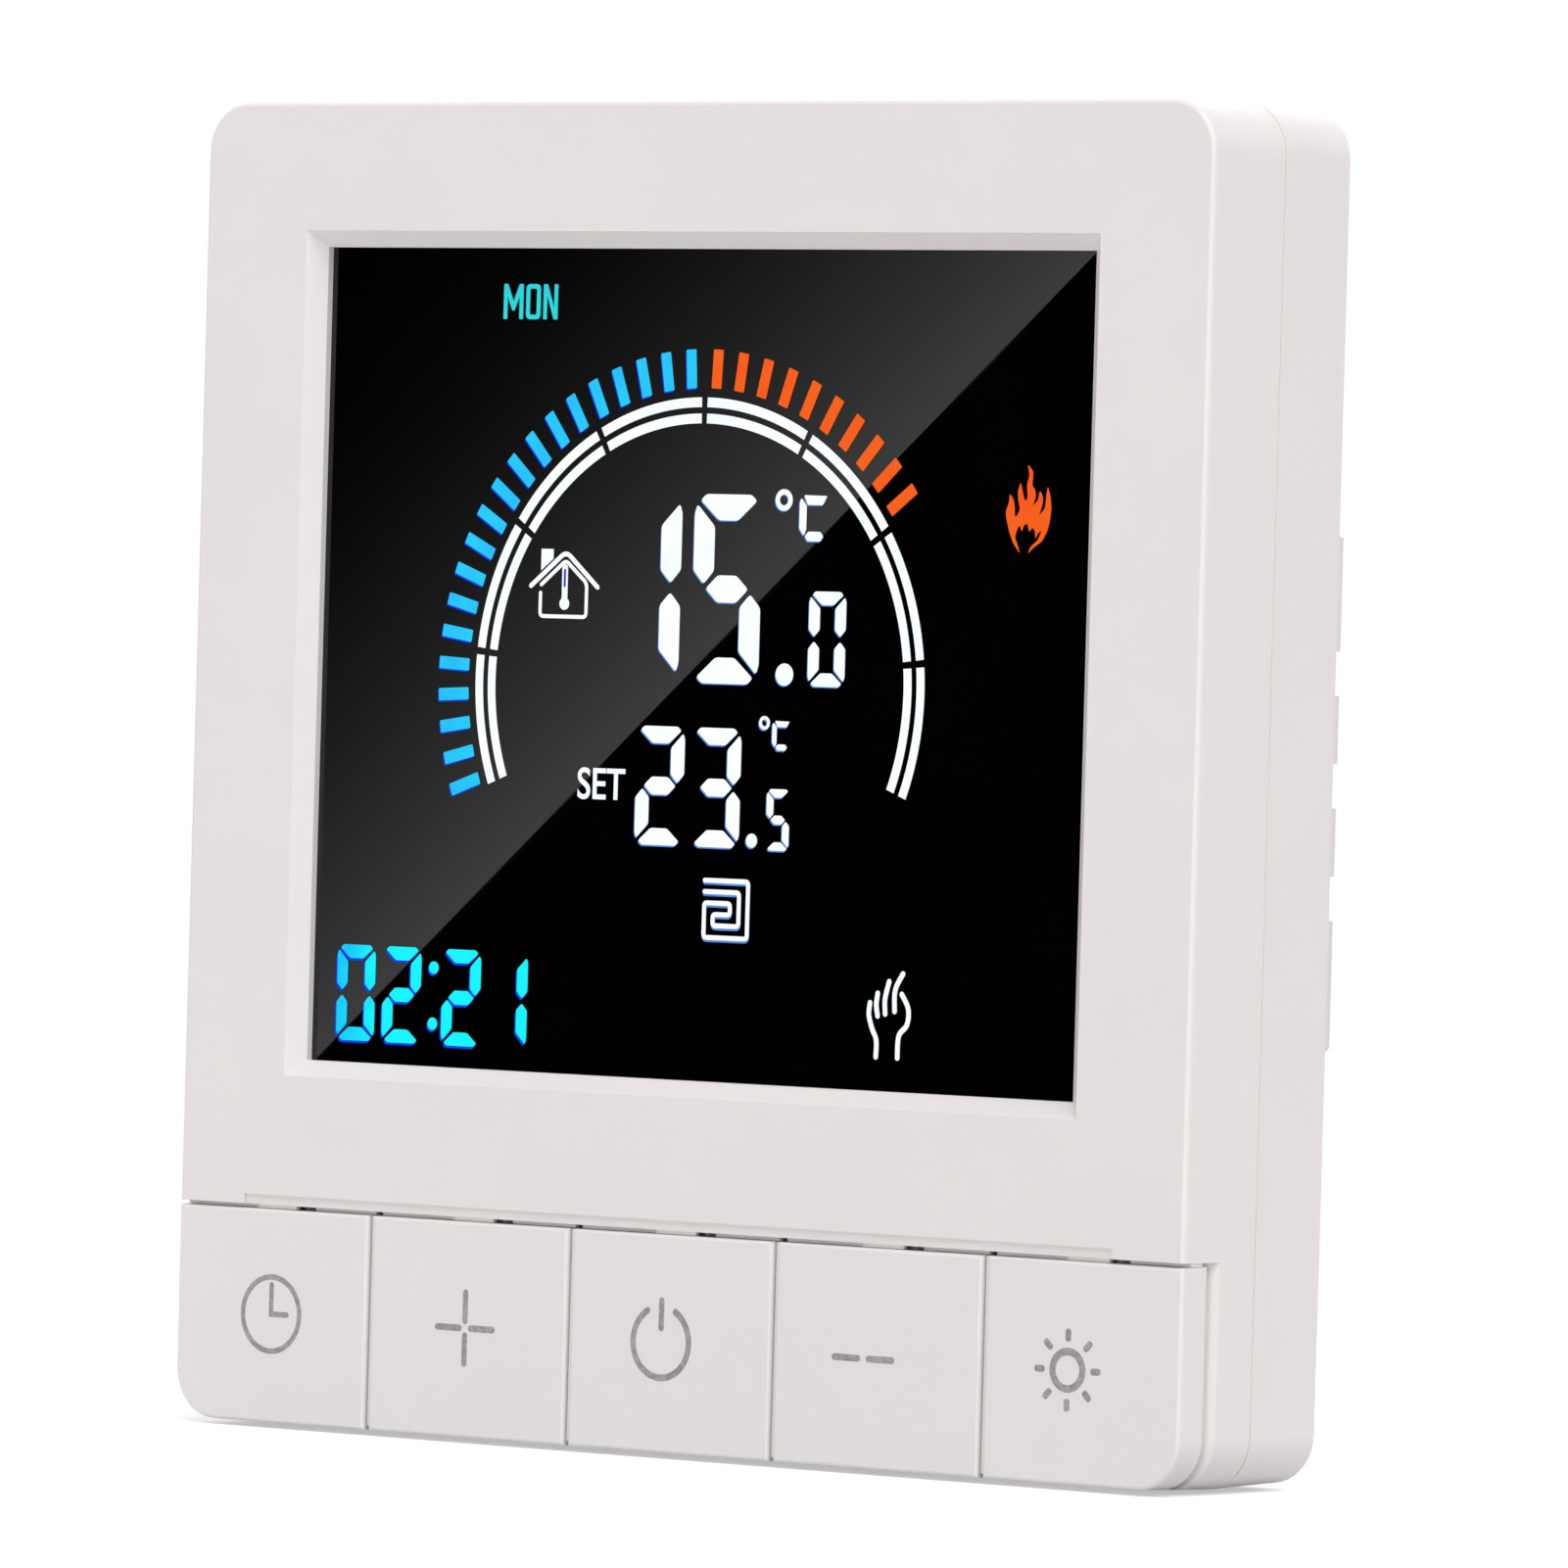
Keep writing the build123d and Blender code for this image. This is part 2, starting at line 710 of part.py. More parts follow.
with BuildPart() as surge_varistor:
    with BuildSketch(Plane.XY.offset(varistor_z - varistor_thickness / 2)):
        with Locations((varistor_x, power_front - varistor_lift - varistor_radius - shell_depth)):
            Circle(varistor_radius)
    extrude(amount=varistor_thickness)
    with BuildSketch(level(power_front)):
        with Locations((varistor_x, varistor_z)):
            with GridLocations(varistor_lead_pitch, 0, 2, 1):
                Circle(varistor_lead_radius)
    extrude(amount=varistor_lift + varistor_radius)
save(surge_varistor, "surge_varistor")

# Terminal blocks, with a screw and a wire clamp for each pole
cavity_size = clamp_size + 2 * clamp_gap
for side, side_name in ((-1, "left"), (1, "right")):
    with BuildPart() as terminal_block:
        with BuildSketch(level(block_back)):
            with Locations((side * block_x, pole_lift)):
                Rectangle(block_width, block_height)
        extrude(amount=block_depth)
        for height in pole_heights:
            with BuildSketch(level(web_front)):
                with Locations((side * block_x, height)):
                    Rectangle(cavity_size, cavity_size)
            extrude(amount=web_front - clamp_front + clamp_gap, mode=Mode.SUBTRACT)
            with BuildSketch(level(block_back)):
                with Locations((side * block_x, height)):
                    Circle(terminal_head_radius + running_clearance)
            extrude(amount=block_back - web_back, mode=Mode.SUBTRACT)
            with BuildSketch(level(web_back)):
                with Locations((side * block_x, height)):
                    Circle(terminal_shank_radius + clamp_gap)
            extrude(amount=terminal_web, mode=Mode.SUBTRACT)
            entry_depth = clamp_front + clamp_depth / 2
            with BuildSketch(Plane.YZ.offset(side * block_x)):
                with Locations((entry_depth - shell_depth, height)):
                    Rectangle(wire_entry_height, wire_entry_width)
            extrude(amount=side * block_width, mode=Mode.SUBTRACT)
    save(terminal_block, f"terminal_block_{side_name}")

    for number, height in enumerate(pole_heights, start=1):
        with BuildPart() as terminal_screw:
            with BuildSketch(level(head_top)):
                with Locations((side * block_x, height)):
                    Circle(terminal_head_radius)
            extrude(amount=terminal_head_height)
            with BuildSketch(level(head_bottom)):
                with Locations((side * block_x, height)):
                    Circle(terminal_shank_radius)
            extrude(amount=terminal_shank_length)
            with BuildSketch(level(head_top)):
                with Locations((side * block_x, height)):
                    Rectangle(2 * terminal_head_radius, screw_slot_width)
            extrude(amount=screw_slot_depth, mode=Mode.SUBTRACT)
        save(terminal_screw, f"terminal_screw_{side_name}_{number}")

        with BuildPart() as wire_clamp:
            with BuildSketch(level(clamp_back)):
                with Locations((side * block_x, height)):
                    Rectangle(clamp_size, clamp_size)
            extrude(amount=clamp_depth)
            with BuildSketch(Plane.YZ.offset(side * block_x - clamp_size / 2)):
                with Locations(((clamp_front + clamp_back) / 2 - shell_depth, height)):
                    Rectangle(clamp_depth - 2 * clamp_wall, clamp_size - 2 * clamp_wall)
            extrude(amount=clamp_size, mode=Mode.SUBTRACT)
            with BuildSketch(level(clamp_back)):
                with Locations((side * block_x, height)):
                    Circle(terminal_shank_radius + running_clearance)
            extrude(amount=clamp_wall, mode=Mode.SUBTRACT)
        save(wire_clamp, f"wire_clamp_{side_name}_{number}")

# Link between the boards: pins in a header on the power board, socket on the control board
with BuildPart() as link_header:
    with BuildSketch(level(power_front)):
        with Locations((0, link_z)):
            Rectangle(link_width, link_height)
            with GridLocations(pin_pitch, pin_pitch, pin_columns, pin_rows):
                Rectangle(pin_size + 2 * pin_play, pin_size + 2 * pin_play, mode=Mode.SUBTRACT)
    extrude(amount=header_depth)
save(link_header, "link_header")

with BuildPart() as link_pins:
    with BuildSketch(level(power_back + pin_tail)):
        with Locations((0, link_z)):
            with GridLocations(pin_pitch, pin_pitch, pin_columns, pin_rows):
                Rectangle(pin_size, pin_size)
    extrude(amount=power_back + pin_tail - pin_front)
save(link_pins, "link_pins")

with BuildPart() as link_socket:
    with BuildSketch(level(socket_back)):
        with Locations((0, link_z)):
            Rectangle(link_width, link_height)
    extrude(amount=socket_depth)
    with BuildSketch(level(socket_back)):
        with Locations((0, link_z)):
            with GridLocations(pin_pitch, pin_pitch, pin_columns, pin_rows):
                Rectangle(pin_hole_size, pin_hole_size)
    extrude(amount=pin_engagement + link_gap, mode=Mode.SUBTRACT)
save(link_socket, "link_socket")
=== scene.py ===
import json
from math import cos, pi, radians, sin

import bmesh
import bpy
from mathutils import Matrix, Vector


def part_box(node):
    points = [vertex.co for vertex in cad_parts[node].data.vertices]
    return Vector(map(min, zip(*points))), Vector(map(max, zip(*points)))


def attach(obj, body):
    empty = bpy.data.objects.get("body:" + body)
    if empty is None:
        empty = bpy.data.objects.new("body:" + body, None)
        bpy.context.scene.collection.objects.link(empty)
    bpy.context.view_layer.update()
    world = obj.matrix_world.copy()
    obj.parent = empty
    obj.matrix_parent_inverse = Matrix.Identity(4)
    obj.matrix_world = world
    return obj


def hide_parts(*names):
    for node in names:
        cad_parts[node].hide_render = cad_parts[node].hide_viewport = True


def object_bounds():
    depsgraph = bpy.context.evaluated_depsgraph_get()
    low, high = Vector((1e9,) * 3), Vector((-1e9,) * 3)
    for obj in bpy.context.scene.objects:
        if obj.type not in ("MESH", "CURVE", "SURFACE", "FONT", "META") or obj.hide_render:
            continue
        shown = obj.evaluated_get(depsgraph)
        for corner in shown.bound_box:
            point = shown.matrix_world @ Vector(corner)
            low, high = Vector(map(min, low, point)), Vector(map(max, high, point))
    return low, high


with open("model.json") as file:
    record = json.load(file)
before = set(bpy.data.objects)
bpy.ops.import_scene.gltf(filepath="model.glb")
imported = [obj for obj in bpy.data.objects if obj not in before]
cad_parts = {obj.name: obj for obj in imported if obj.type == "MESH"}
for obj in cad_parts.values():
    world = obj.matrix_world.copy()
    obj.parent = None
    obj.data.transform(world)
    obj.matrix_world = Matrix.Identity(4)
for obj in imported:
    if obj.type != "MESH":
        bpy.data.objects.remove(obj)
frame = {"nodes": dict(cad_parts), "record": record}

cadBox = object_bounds()
nodes = frame["nodes"]
mm = 0.001
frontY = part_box("front_cover")[0].y  # the face that the user looks at
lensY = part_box("display_lens")[0].y
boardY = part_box("control_board")[1].y
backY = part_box("rear_box")[1].y
keyNames = ("time", "plus", "power", "minus", "light")
bodyOf = {node: body for body, members in frame["record"]["behaviour"]["bodies"].items() for node in members}
slotOf = {part["node"]: part["material_slot"] for part in frame["record"]["subparts"]}
print("frame loaded:", len(nodes), "nodes")


def addObject(name, data):
    made = bpy.data.objects.new(name, data)
    bpy.context.scene.collection.objects.link(made)
    return made


def dress(piece, body):
    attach(piece, body)


def middleOf(node):
    low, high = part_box(node)
    return (low.x + high.x) / 2 / mm, (low.z + high.z) / 2 / mm


# camera, as the photograph was taken: degrees and mm, aimed at the middle of the front face
view = {"turn": 38.603, "rise": 0.656, "roll": 1.599, "distance": 875.1, "across": 6.988, "up": -0.445,
        "lens": 302.07, "sensor": 36}
turn, rise, roll = (radians(view[angle]) for angle in ("turn", "rise", "roll"))
forward = Vector((-sin(turn) * cos(rise), cos(turn) * cos(rise), -sin(rise)))
level = Vector((cos(turn), sin(turn), 0))
upright = level.cross(forward)
across = cos(roll) * level + sin(roll) * upright
up = cos(roll) * upright - sin(roll) * level
eye = Vector((0, frontY, 0)) + mm * (view["across"] * across + view["up"] * up - view["distance"] * forward)
camera = addObject("camera", bpy.data.cameras.new("camera"))
camera.data.lens = view["lens"]
camera.data.sensor_width = view["sensor"]
camera.matrix_world = Matrix.Translation(eye) @ Matrix((across, up, -forward)).transposed().to_4x4()
bpy.context.scene.camera = camera
bpy.context.scene.view_settings.view_transform = "Standard"
print("camera placed")


# nodes: an input takes a value, or the output that it is joined to, and addNode gives the new node's outputs
def setInputs(tree, node, values):
    for socket, value in values.items():
        if isinstance(value, bpy.types.NodeSocket):
            tree.links.new(value, node.inputs[socket])
        else:
            node.inputs[socket].default_value = value


def addNode(tree, kind, values={}, **settings):
    node = tree.nodes.new(kind)
    for setting, value in settings.items():
        setattr(node, setting, value)
    setInputs(tree, node, values)
    return node.outputs


def addMath(tree, operation, *terms):
    return addNode(tree, "ShaderNodeMath", dict(enumerate(terms)), operation=operation)["Value"]


# materials: every pattern is drawn on Object coordinates, in mm
def newMaterial(name):
    skin = bpy.data.materials.new(name)
    skin.use_nodes = True
    return skin


def setShader(skin, values):
    setInputs(skin.node_tree, skin.node_tree.nodes["Principled BSDF"], values)


def newSkin(name, color, roughness, metallic=0.0):
    skin = newMaterial(name)
    setShader(skin, {"Base Color": (*color, 1), "Roughness": roughness, "Metallic": metallic})
    coords = addNode(skin.node_tree, "ShaderNodeTexCoord")["Object"]
    addNode(skin.node_tree, "ShaderNodeMapping", {"Vector": coords, "Scale": (1000, 1000, 1000)})
    return skin


def placeOn(skin):
    return skin.node_tree.nodes["Mapping"].outputs["Vector"]


def addNoise(skin, size, detail=2.0, stretch=None):
    tree, vector = skin.node_tree, placeOn(skin)
    if stretch:
        vector = addNode(tree, "ShaderNodeVectorMath", {0: vector, 1: stretch}, operation="MULTIPLY")["Vector"]
    return addNode(tree, "ShaderNodeTexNoise", {"Vector": vector, "Scale": 1 / size, "Detail": detail})["Fac"]


def addRange(skin, source, low=0, high=1, fromLow=0.3, fromHigh=0.7, curve="LINEAR"):
    values = {"Value": source, "From Min": fromLow, "From Max": fromHigh, "To Min": low, "To Max": high}
    return addNode(skin.node_tree, "ShaderNodeMapRange", values, interpolation_type=curve)["Result"]


def addBump(skin, source, depth):
    bump = addNode(skin.node_tree, "ShaderNodeBump", {"Height": source, "Distance": depth * mm})
    setShader(skin, {"Normal": bump["Normal"]})


def addTint(skin, source, first, second, socket="Base Color"):
    values = {"Factor": source, "A": (*first, 1), "B": (*second, 1)}
    mix = addNode(skin.node_tree, "ShaderNodeMix", values, data_type="RGBA")
    setShader(skin, {socket: mix["Result"]})


def addMottle(skin, color, shade, size):
    addTint(skin, addRange(skin, addNoise(skin, size, 3)), color, shade)


def addRough(skin, source, low, high):
    setShader(skin, {"Roughness": addRange(skin, source, low, high)})


def addBands(skin, size, axis, sharp=(0.45, 0.55)):
    values = {"Vector": placeOn(skin), "Scale": 0.314 / size}  # one band every size mm
    wave = addNode(skin.node_tree, "ShaderNodeTexWave", values, bands_direction=axis)
    return addRange(skin, wave["Fac"], 0, 1, *sharp)


def mouldedSkin(name, color, shade, roughness, grain=0.28):
    skin = newSkin(name, color, roughness)
    addMottle(skin, color, shade, size=9)
    fine = addNoise(skin, grain)
    addBump(skin, fine, depth=0.004)
    addRough(skin, fine, roughness - 0.05, roughness + 0.07)
    return skin


def resinSkin(name, color, shade, roughness):
    skin = newSkin(name, color, roughness)
    addMottle(skin, color, shade, size=1.5)
    addBump(skin, addNoise(skin, size=1.1), depth=0.02)
    return skin


def brushedSkin(name, color, shade, roughness):
    skin = newSkin(name, color, roughness, 1.0)
    addMottle(skin, color, shade, size=1.4)
    streaks = addNoise(skin, 0.25, 3, (0.15, 1, 1.6))
    addRough(skin, streaks, roughness - 0.1, roughness + 0.12)
    addBump(skin, streaks, depth=0.006)
    return skin


def litSkin(name, glow, edge, strength=1.0, span=None):
    skin = newSkin(name, (0.01, 0.01, 0.012), 0.5)
    tree = skin.node_tree
    setShader(skin, {"Specular IOR Level": 0.0, "Emission Strength": strength})
    if span:  # from glow at the left to edge at the right
        x = addNode(tree, "ShaderNodeSeparateXYZ", {"Vector": placeOn(skin)})["X"]
        sway = addMath(tree, "MULTIPLY", addNoise(skin, 1.6, 1), 3.0)
        blend = addRange(skin, addMath(tree, "ADD", x, sway), 0, 1, *span)
    else:
        blend = addRange(skin, addNoise(skin, 2.6, 1))
    addTint(skin, blend, glow, edge, "Emission Color")
    return skin


def printSkin(name, color, shade):
    skin = newSkin(name, color, 0.6)
    addTint(skin, addRange(skin, addNoise(skin, 0.35, 3), 0, 1, 0.35, 0.65), color, shade)
    addBump(skin, addNoise(skin, size=0.2), depth=0.004)
    return skin


def boardSkin(name, color, shade, roughness):
    skin = newSkin(name, color, roughness)
    addMottle(skin, color, shade, size=7)
    threads = [addBands(skin, 0.5, axis, (0.2, 0.8)) for axis in "XZ"]
    addBump(skin, addMath(skin.node_tree, "MULTIPLY", *threads), depth=0.006)
    addRough(skin, addNoise(skin, 2.5), roughness - 0.06, roughness + 0.08)
    return skin


def glassSkin(name, color, shade, roughness):
    skin = newSkin(name, color, roughness)
    faint = addNoise(skin, size=14)
    addTint(skin, addRange(skin, faint), color, shade)
    addRough(skin, faint, roughness - 0.004, roughness + 0.004)
    return skin


def bandedSkin(name, color, shade, roughness, size, axis):
    skin = newSkin(name, color, roughness)
    bands = addBands(skin, size, axis)
    addTint(skin, bands, color, shade)
    addBump(skin, bands, depth=0.015)
    return skin


skins = {
    "case_plastic": mouldedSkin("casePlastic", (0.724, 0.682, 0.678), (0.71, 0.672, 0.67), 0.42),
    "key_plastic": mouldedSkin("keyPlastic", (0.72, 0.682, 0.682), (0.705, 0.674, 0.675), 0.42),
    "lens": glassSkin("lensBlack", (0.0002, 0.0002, 0.0003), (0.0005, 0.0005, 0.0006), 0.008),
    "display_glass": resinSkin("displayGlass", (0.03, 0.03, 0.035), (0.045, 0.045, 0.05), 0.08),
    "frame_plastic": mouldedSkin("framePlastic", (0.7, 0.7, 0.69), (0.66, 0.66, 0.65), 0.5),
    "contact_rubber": bandedSkin("contactRubber", (0.02, 0.02, 0.022), (0.32, 0.3, 0.26), 0.7, 0.25, "X"),
    "light_guide": bandedSkin("lightGuide", (0.72, 0.75, 0.78), (0.82, 0.84, 0.86), 0.2, 1.2, "Z"),
    "lamp_plastic": resinSkin("lampResin", (0.82, 0.8, 0.66), (0.86, 0.76, 0.42), 0.3),
    "circuit_board": boardSkin("boardLacquer", (0.012, 0.115, 0.045), (0.016, 0.135, 0.052), 0.34),
    "screw_steel": brushedSkin("screwSteel", (0.6, 0.6, 0.59), (0.5, 0.5, 0.5), 0.32),
    "chip_plastic": mouldedSkin("chipPlastic", (0.02, 0.02, 0.021), (0.03, 0.03, 0.031), 0.55, 0.15),
    "sensor_resin": resinSkin("sensorResin", (0.04, 0.03, 0.03), (0.07, 0.045, 0.04), 0.25),
    "plunger_plastic": mouldedSkin("plungerPlastic", (0.03, 0.03, 0.03), (0.045, 0.045, 0.045), 0.5, 0.2),
    "relay_plastic": mouldedSkin("relayPlastic", (0.015, 0.022, 0.05), (0.022, 0.03, 0.06), 0.3, 0.4),
    "coil_tape": bandedSkin("coilTape", (0.6, 0.44, 0.06), (0.5, 0.34, 0.04), 0.35, 2.2, "Z"),
    "capacitor_sleeve": bandedSkin("capacitorSleeve", (0.015, 0.016, 0.04), (0.3, 0.3, 0.32), 0.28, 16.0, "X"),
    "film_resin": resinSkin("filmResin", (0.62, 0.44, 0.05), (0.55, 0.36, 0.04), 0.35),
    "varistor_resin": resinSkin("varistorResin", (0.03, 0.08, 0.34), (0.04, 0.11, 0.42), 0.3),
    "pin_brass": brushedSkin("pinBrass", (0.78, 0.58, 0.24), (0.7, 0.5, 0.2), 0.28),
    "terminal_plastic": mouldedSkin("terminalPlastic", (0.03, 0.2, 0.08), (0.04, 0.24, 0.1), 0.45),
    "clamp_brass": brushedSkin("clampBrass", (0.72, 0.56, 0.28), (0.62, 0.47, 0.22), 0.34),
}
inks = {
    "white": litSkin("litWhite", (0.97, 0.98, 1.0), (0.86, 0.93, 1.0), 1.05),
    # a glowing blue copy behind the white signs, moved down and left, is their painted shadow; the deep ink paints the
    # same shadow behind the clock and the cool ticks, and also draws the slot in the house sign
    "haze": litSkin("litHaze", (0.12, 0.34, 0.85), (0.06, 0.22, 0.7), 0.9),
    "cyan": litSkin("litCyan", (0.0, 0.36, 0.96), (0.0, 0.9, 1.0), span=(-31.5, -25.5)),
    "deep": litSkin("litDeep", (0.0, 0.02, 0.9), (0.0, 0.06, 0.75)),
    "teal": litSkin("litTeal", (0.02, 0.75, 0.72), (0.02, 0.6, 0.7)),
    "blue": litSkin("litBlue", (0.014, 0.6, 0.94), (0.012, 0.5, 0.97)),
    "orange": litSkin("litOrange", (0.94, 0.095, 0.001), (0.9, 0.12, 0.002)),
    "print": printSkin("signPrint", (0.34, 0.33, 0.325), (0.22, 0.215, 0.21)),
    "track": boardSkin("trackLacquer", (0.022, 0.2, 0.075), (0.028, 0.225, 0.085), 0.3),
    "tin": brushedSkin("solderTin", (0.7, 0.7, 0.69), (0.6, 0.6, 0.6), 0.3),
    "resistor": mouldedSkin("resistorBody", (0.018, 0.018, 0.02), (0.03, 0.03, 0.032), 0.4, 0.2),
    "capacitor": mouldedSkin("capacitorBody", (0.36, 0.23, 0.12), (0.42, 0.27, 0.15), 0.45, 0.2),
    "marks": printSkin("boardMarks", (0.72, 0.73, 0.7), (0.6, 0.62, 0.58)),
}
for node, slot in slotOf.items():
    for materialSlot in nodes[node].material_slots:
        materialSlot.material = skins[slot]
print("materials made:", len(skins) + len(inks))


# the moulded shells: the solids' own meshes, merged, round at their fillets and level on their flats
shellFit = {"merge": 0.002 * mm, "near": 0.001 * mm, "bend": radians(30), "sameFlat": 0.99999,
            "printDepth": 0.012 * mm}  # printed faces lie back by this, so the print ends where the solid does


def levelNormals(work):
    flats = {}  # each face with the size of the flat that it is part of
    for face in work.faces:
        if face in flats:
            continue
        flat, found = [face], {face}
        for member in flat:
            near = {other for edge in member.edges for other in edge.link_faces}
            fresh = {other for other in near - found if member.normal.dot(other.normal) > shellFit["sameFlat"]}
            found |= fresh
            flat += sorted(fresh, key=lambda other: other.index)
        flats.update(dict.fromkeys(flat, sum(member.calc_area() for member in flat)))
    normals = []
    for face in work.faces:
        for corner in face.loops:
            fan, found = [face], {face}
            for member in fan:
                for edge in corner.vert.link_edges:
                    pair = edge.link_faces
                    if member in pair and len(pair) == 2 and edge.calc_face_angle() < shellFit["bend"]:
                        fresh = [other for other in pair if other not in found]
                        fan += fresh
                        found.update(fresh)
            normals.append(sum((flats[member] * member.normal for member in fan), Vector()).normalized())
    return normals


def addShell(node, name):
    mesh = nodes[node].data.copy()
    work = bmesh.new()
    work.from_mesh(mesh)
    bmesh.ops.remove_doubles(work, verts=work.verts, dist=shellFit["merge"])
    for vert in work.verts:
        if vert.co.y < frontY + shellFit["near"]:
            vert.co.y += shellFit["printDepth"]
        elif vert.co.y > backY - shellFit["near"]:
            vert.co.y -= shellFit["printDepth"]
    work.faces.index_update()
    work.normal_update()
    normals = levelNormals(work)
    work.to_mesh(mesh)
    work.free()
    mesh.shade_smooth()
    mesh.set_sharp_from_angle(angle=shellFit["bend"])
    mesh.normals_split_custom_set(normals)
    shell = addObject(name, mesh)
    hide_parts(node)
    dress(shell, bodyOf[node])


shells = {"front_cover": "frontCoverShell", "wall_plate": "wallPlateShell", "rear_box": "rearBoxShell"}
shells.update({f"key_{key}": f"{key}KeyCap" for key in keyNames})
for node, name in shells.items():
    addShell(node, name)
print("shells made:", len(shells))


# drawing: flat shapes in mm across (X) and up (Z), made into thin closed plates
def arcPath(x, z, radius, start, end, steps=36):
    turns = [radians(start + (end - start) * i / steps) for i in range(steps + 1)]
    return [(x + radius * sin(a), z + radius * cos(a)) for a in turns]


def dotShape(x, z, radius, steps=24):
    return arcPath(x, z, radius, 0, 360, steps)[:-1]


def ringShape(x, z, radius, width, steps=48):
    return dotShape(x, z, radius + width / 2, steps), dotShape(x, z, radius - width / 2, steps)


def boxShape(left, bottom, right, top):
    return [(left, bottom), (left, top), (right, top), (right, bottom)]


def boxLoop(x, z, halfWide, halfTall, radius, steps=8):
    loop = []
    for start, sideX, sideZ in ((0, 1, 1), (90, 1, -1), (180, -1, -1), (270, -1, 1)):
        cornerX, cornerZ = x + sideX * (halfWide - radius), z + sideZ * (halfTall - radius)
        loop += arcPath(cornerX, cornerZ, radius, start, start + 90, steps)
    return loop


def bendPath(start, corner, end, steps):
    return [tuple((1 - t) ** 2 * start + 2 * t * (1 - t) * corner + t * t * end)
            for t in (s / steps for s in range(steps + 1))]


def roundShape(points, radius, steps=3, most=0.45):  # most of a side that a corner may take
    loop = []
    for i, corner in enumerate(points):
        corner = Vector(corner)
        arms = [Vector(points[i - 1]) - corner, Vector(points[(i + 1) % len(points)]) - corner]
        start, end = (corner + arm.normalized() * min(radius, arm.length * most) for arm in arms)
        loop += bendPath(start, corner, end, steps)
    return loop


def filletPath(points, radius, steps=4):
    path = [points[0]]
    for a, b, c in zip(points, points[1:], points[2:]):
        a, b, c = Vector(a), Vector(b), Vector(c)
        path += bendPath(b + (a - b).normalized() * radius, b, b + (c - b).normalized() * radius, steps)
    return path + [points[-1]]


def smoothPath(points, steps=6):
    padded = [points[0], *points, points[-1]]
    path = []
    for a, b, c, d in zip(padded, padded[1:], padded[2:], padded[3:]):
        for t in (s / steps for s in range(steps)):
            path.append(tuple(0.5 * (2 * q + (r - p) * t + (2 * p - 5 * q + 4 * r - w) * t * t
                                     + (3 * q - p - 3 * r + w) * t ** 3) for p, q, r, w in zip(a, b, c, d)))
    return path + [points[-1]]


def strokeShape(points, width, capSteps=6, sharpest=0.4):
    points = [Vector(p) for p in points]
    left, right = [], []
    for i, p in enumerate(points):
        first = max(i - 1, 0)
        runs = [(b - a).normalized() for a, b in zip(points[first:i + 1], points[first + 1:i + 2])]
        along = (runs[0] + runs[-1]).normalized()
        side = Vector((-along.y, along.x)) * width / 2 / max(along.dot(runs[0]), sharpest)
        left.append(p + side)
        right.append(p - side)

    def cap(middle, start):
        return [middle + Matrix.Rotation(-pi * s / capSteps, 2) @ (start - middle) for s in range(1, capSteps)]

    loop = left + cap(points[-1], left[-1]) + right[::-1] + cap(points[0], right[0])
    return [tuple(p) for p in loop]


def movedShapes(shapes, x, z):
    shift = lambda loop: [(px + x, pz + z) for px, pz in loop]
    return [tuple(map(shift, shape)) if isinstance(shape, tuple) else shift(shape) for shape in shapes]


def slabMesh(name, shapes, skin, *spots):
    work = bmesh.new()
    for shape in shapes:  # spots place a point of the shape in the near and far sheet
        loops = shape if isinstance(shape, tuple) else (shape,)
        near, far = ([[work.verts.new(spot(*point)) for point in loop] for loop in loops] for spot in spots)
        for front, back in zip(near, far):
            for i in range(len(front)):
                work.faces.new((front[i - 1], front[i], back[i], back[i - 1]))
        for sheet in (near, far):
            if len(loops) == 1:
                work.faces.new(sheet[0])
                continue
            outer, inner = sheet
            for i in range(len(outer)):
                work.faces.new((outer[i - 1], outer[i], inner[i], inner[i - 1]))
    bmesh.ops.recalc_face_normals(work, faces=work.faces)
    mesh = bpy.data.meshes.new(name)
    work.to_mesh(mesh)
    work.free()
    mesh.materials.append(skin)
    return mesh


def addPlates(name, shapes, skin, faceY, lift, thickness, body, slot):
    spots = (lambda x, z, h=h: (x * mm, faceY - h * mm, z * mm) for h in (lift + thickness, lift))
    dress(addObject(name, slabMesh(name, shapes, skin, *spots)), body)


def addWord(name, text, box, skin, faceY, lift, thickness, body, slot, facing=1, weight=0.0):
    curve = bpy.data.curves.new(name, "FONT")
    curve.body = text
    curve.extrude = 0.5
    curve.offset = weight
    lettering = bpy.data.objects.new(name, curve)
    mesh = bpy.data.meshes.new_from_object(lettering)
    bpy.data.objects.remove(lettering)
    low, high = (Vector([pick(axis) for axis in zip(*(v.co for v in mesh.vertices))]) for pick in (min, max))
    left, bottom, right, top = box
    if right is None:  # left is the middle, and the width follows the lettering's own shape
        half = (top - bottom) * (high.x - low.x) / (high.y - low.y) / 2
        left, right = left - half, left + half
    for v in mesh.vertices:
        x = left + (right - left) * (v.co.x - low.x) / (high.x - low.x)
        z = bottom + (top - bottom) * (v.co.y - low.y) / (high.y - low.y)
        v.co = (facing * x * mm, faceY - facing * (lift + thickness * (v.co.z + 0.5)) * mm, z * mm)
    mesh.materials.clear()
    mesh.materials.append(skin)
    dress(addObject(name, mesh), body)


# signs on the lens, some with a painted shadow behind them, a glowing copy moved down and left: lift and thickness
signFit = {"sign": (0.03, 0.02), "house": (0.02, 0.02), "slot": (0.045, 0.01), "haze": (0.005, 0.02)}


def drawSign(name, shapes, ink, fit="sign"):
    addPlates(name, shapes, inks[ink], lensY, *signFit[fit], "front_part", "lens")


# the sign, and behind it the same shapes moved down and left in a glowing darker ink, painted as its shadow
def drawWithPaintedShadow(name, shapes, ink, haze, paintedShadowInk):
    drawSign(name, shapes, ink)
    drawSign(f"{name}Haze", movedShapes(shapes, *haze), paintedShadowInk, "haze")


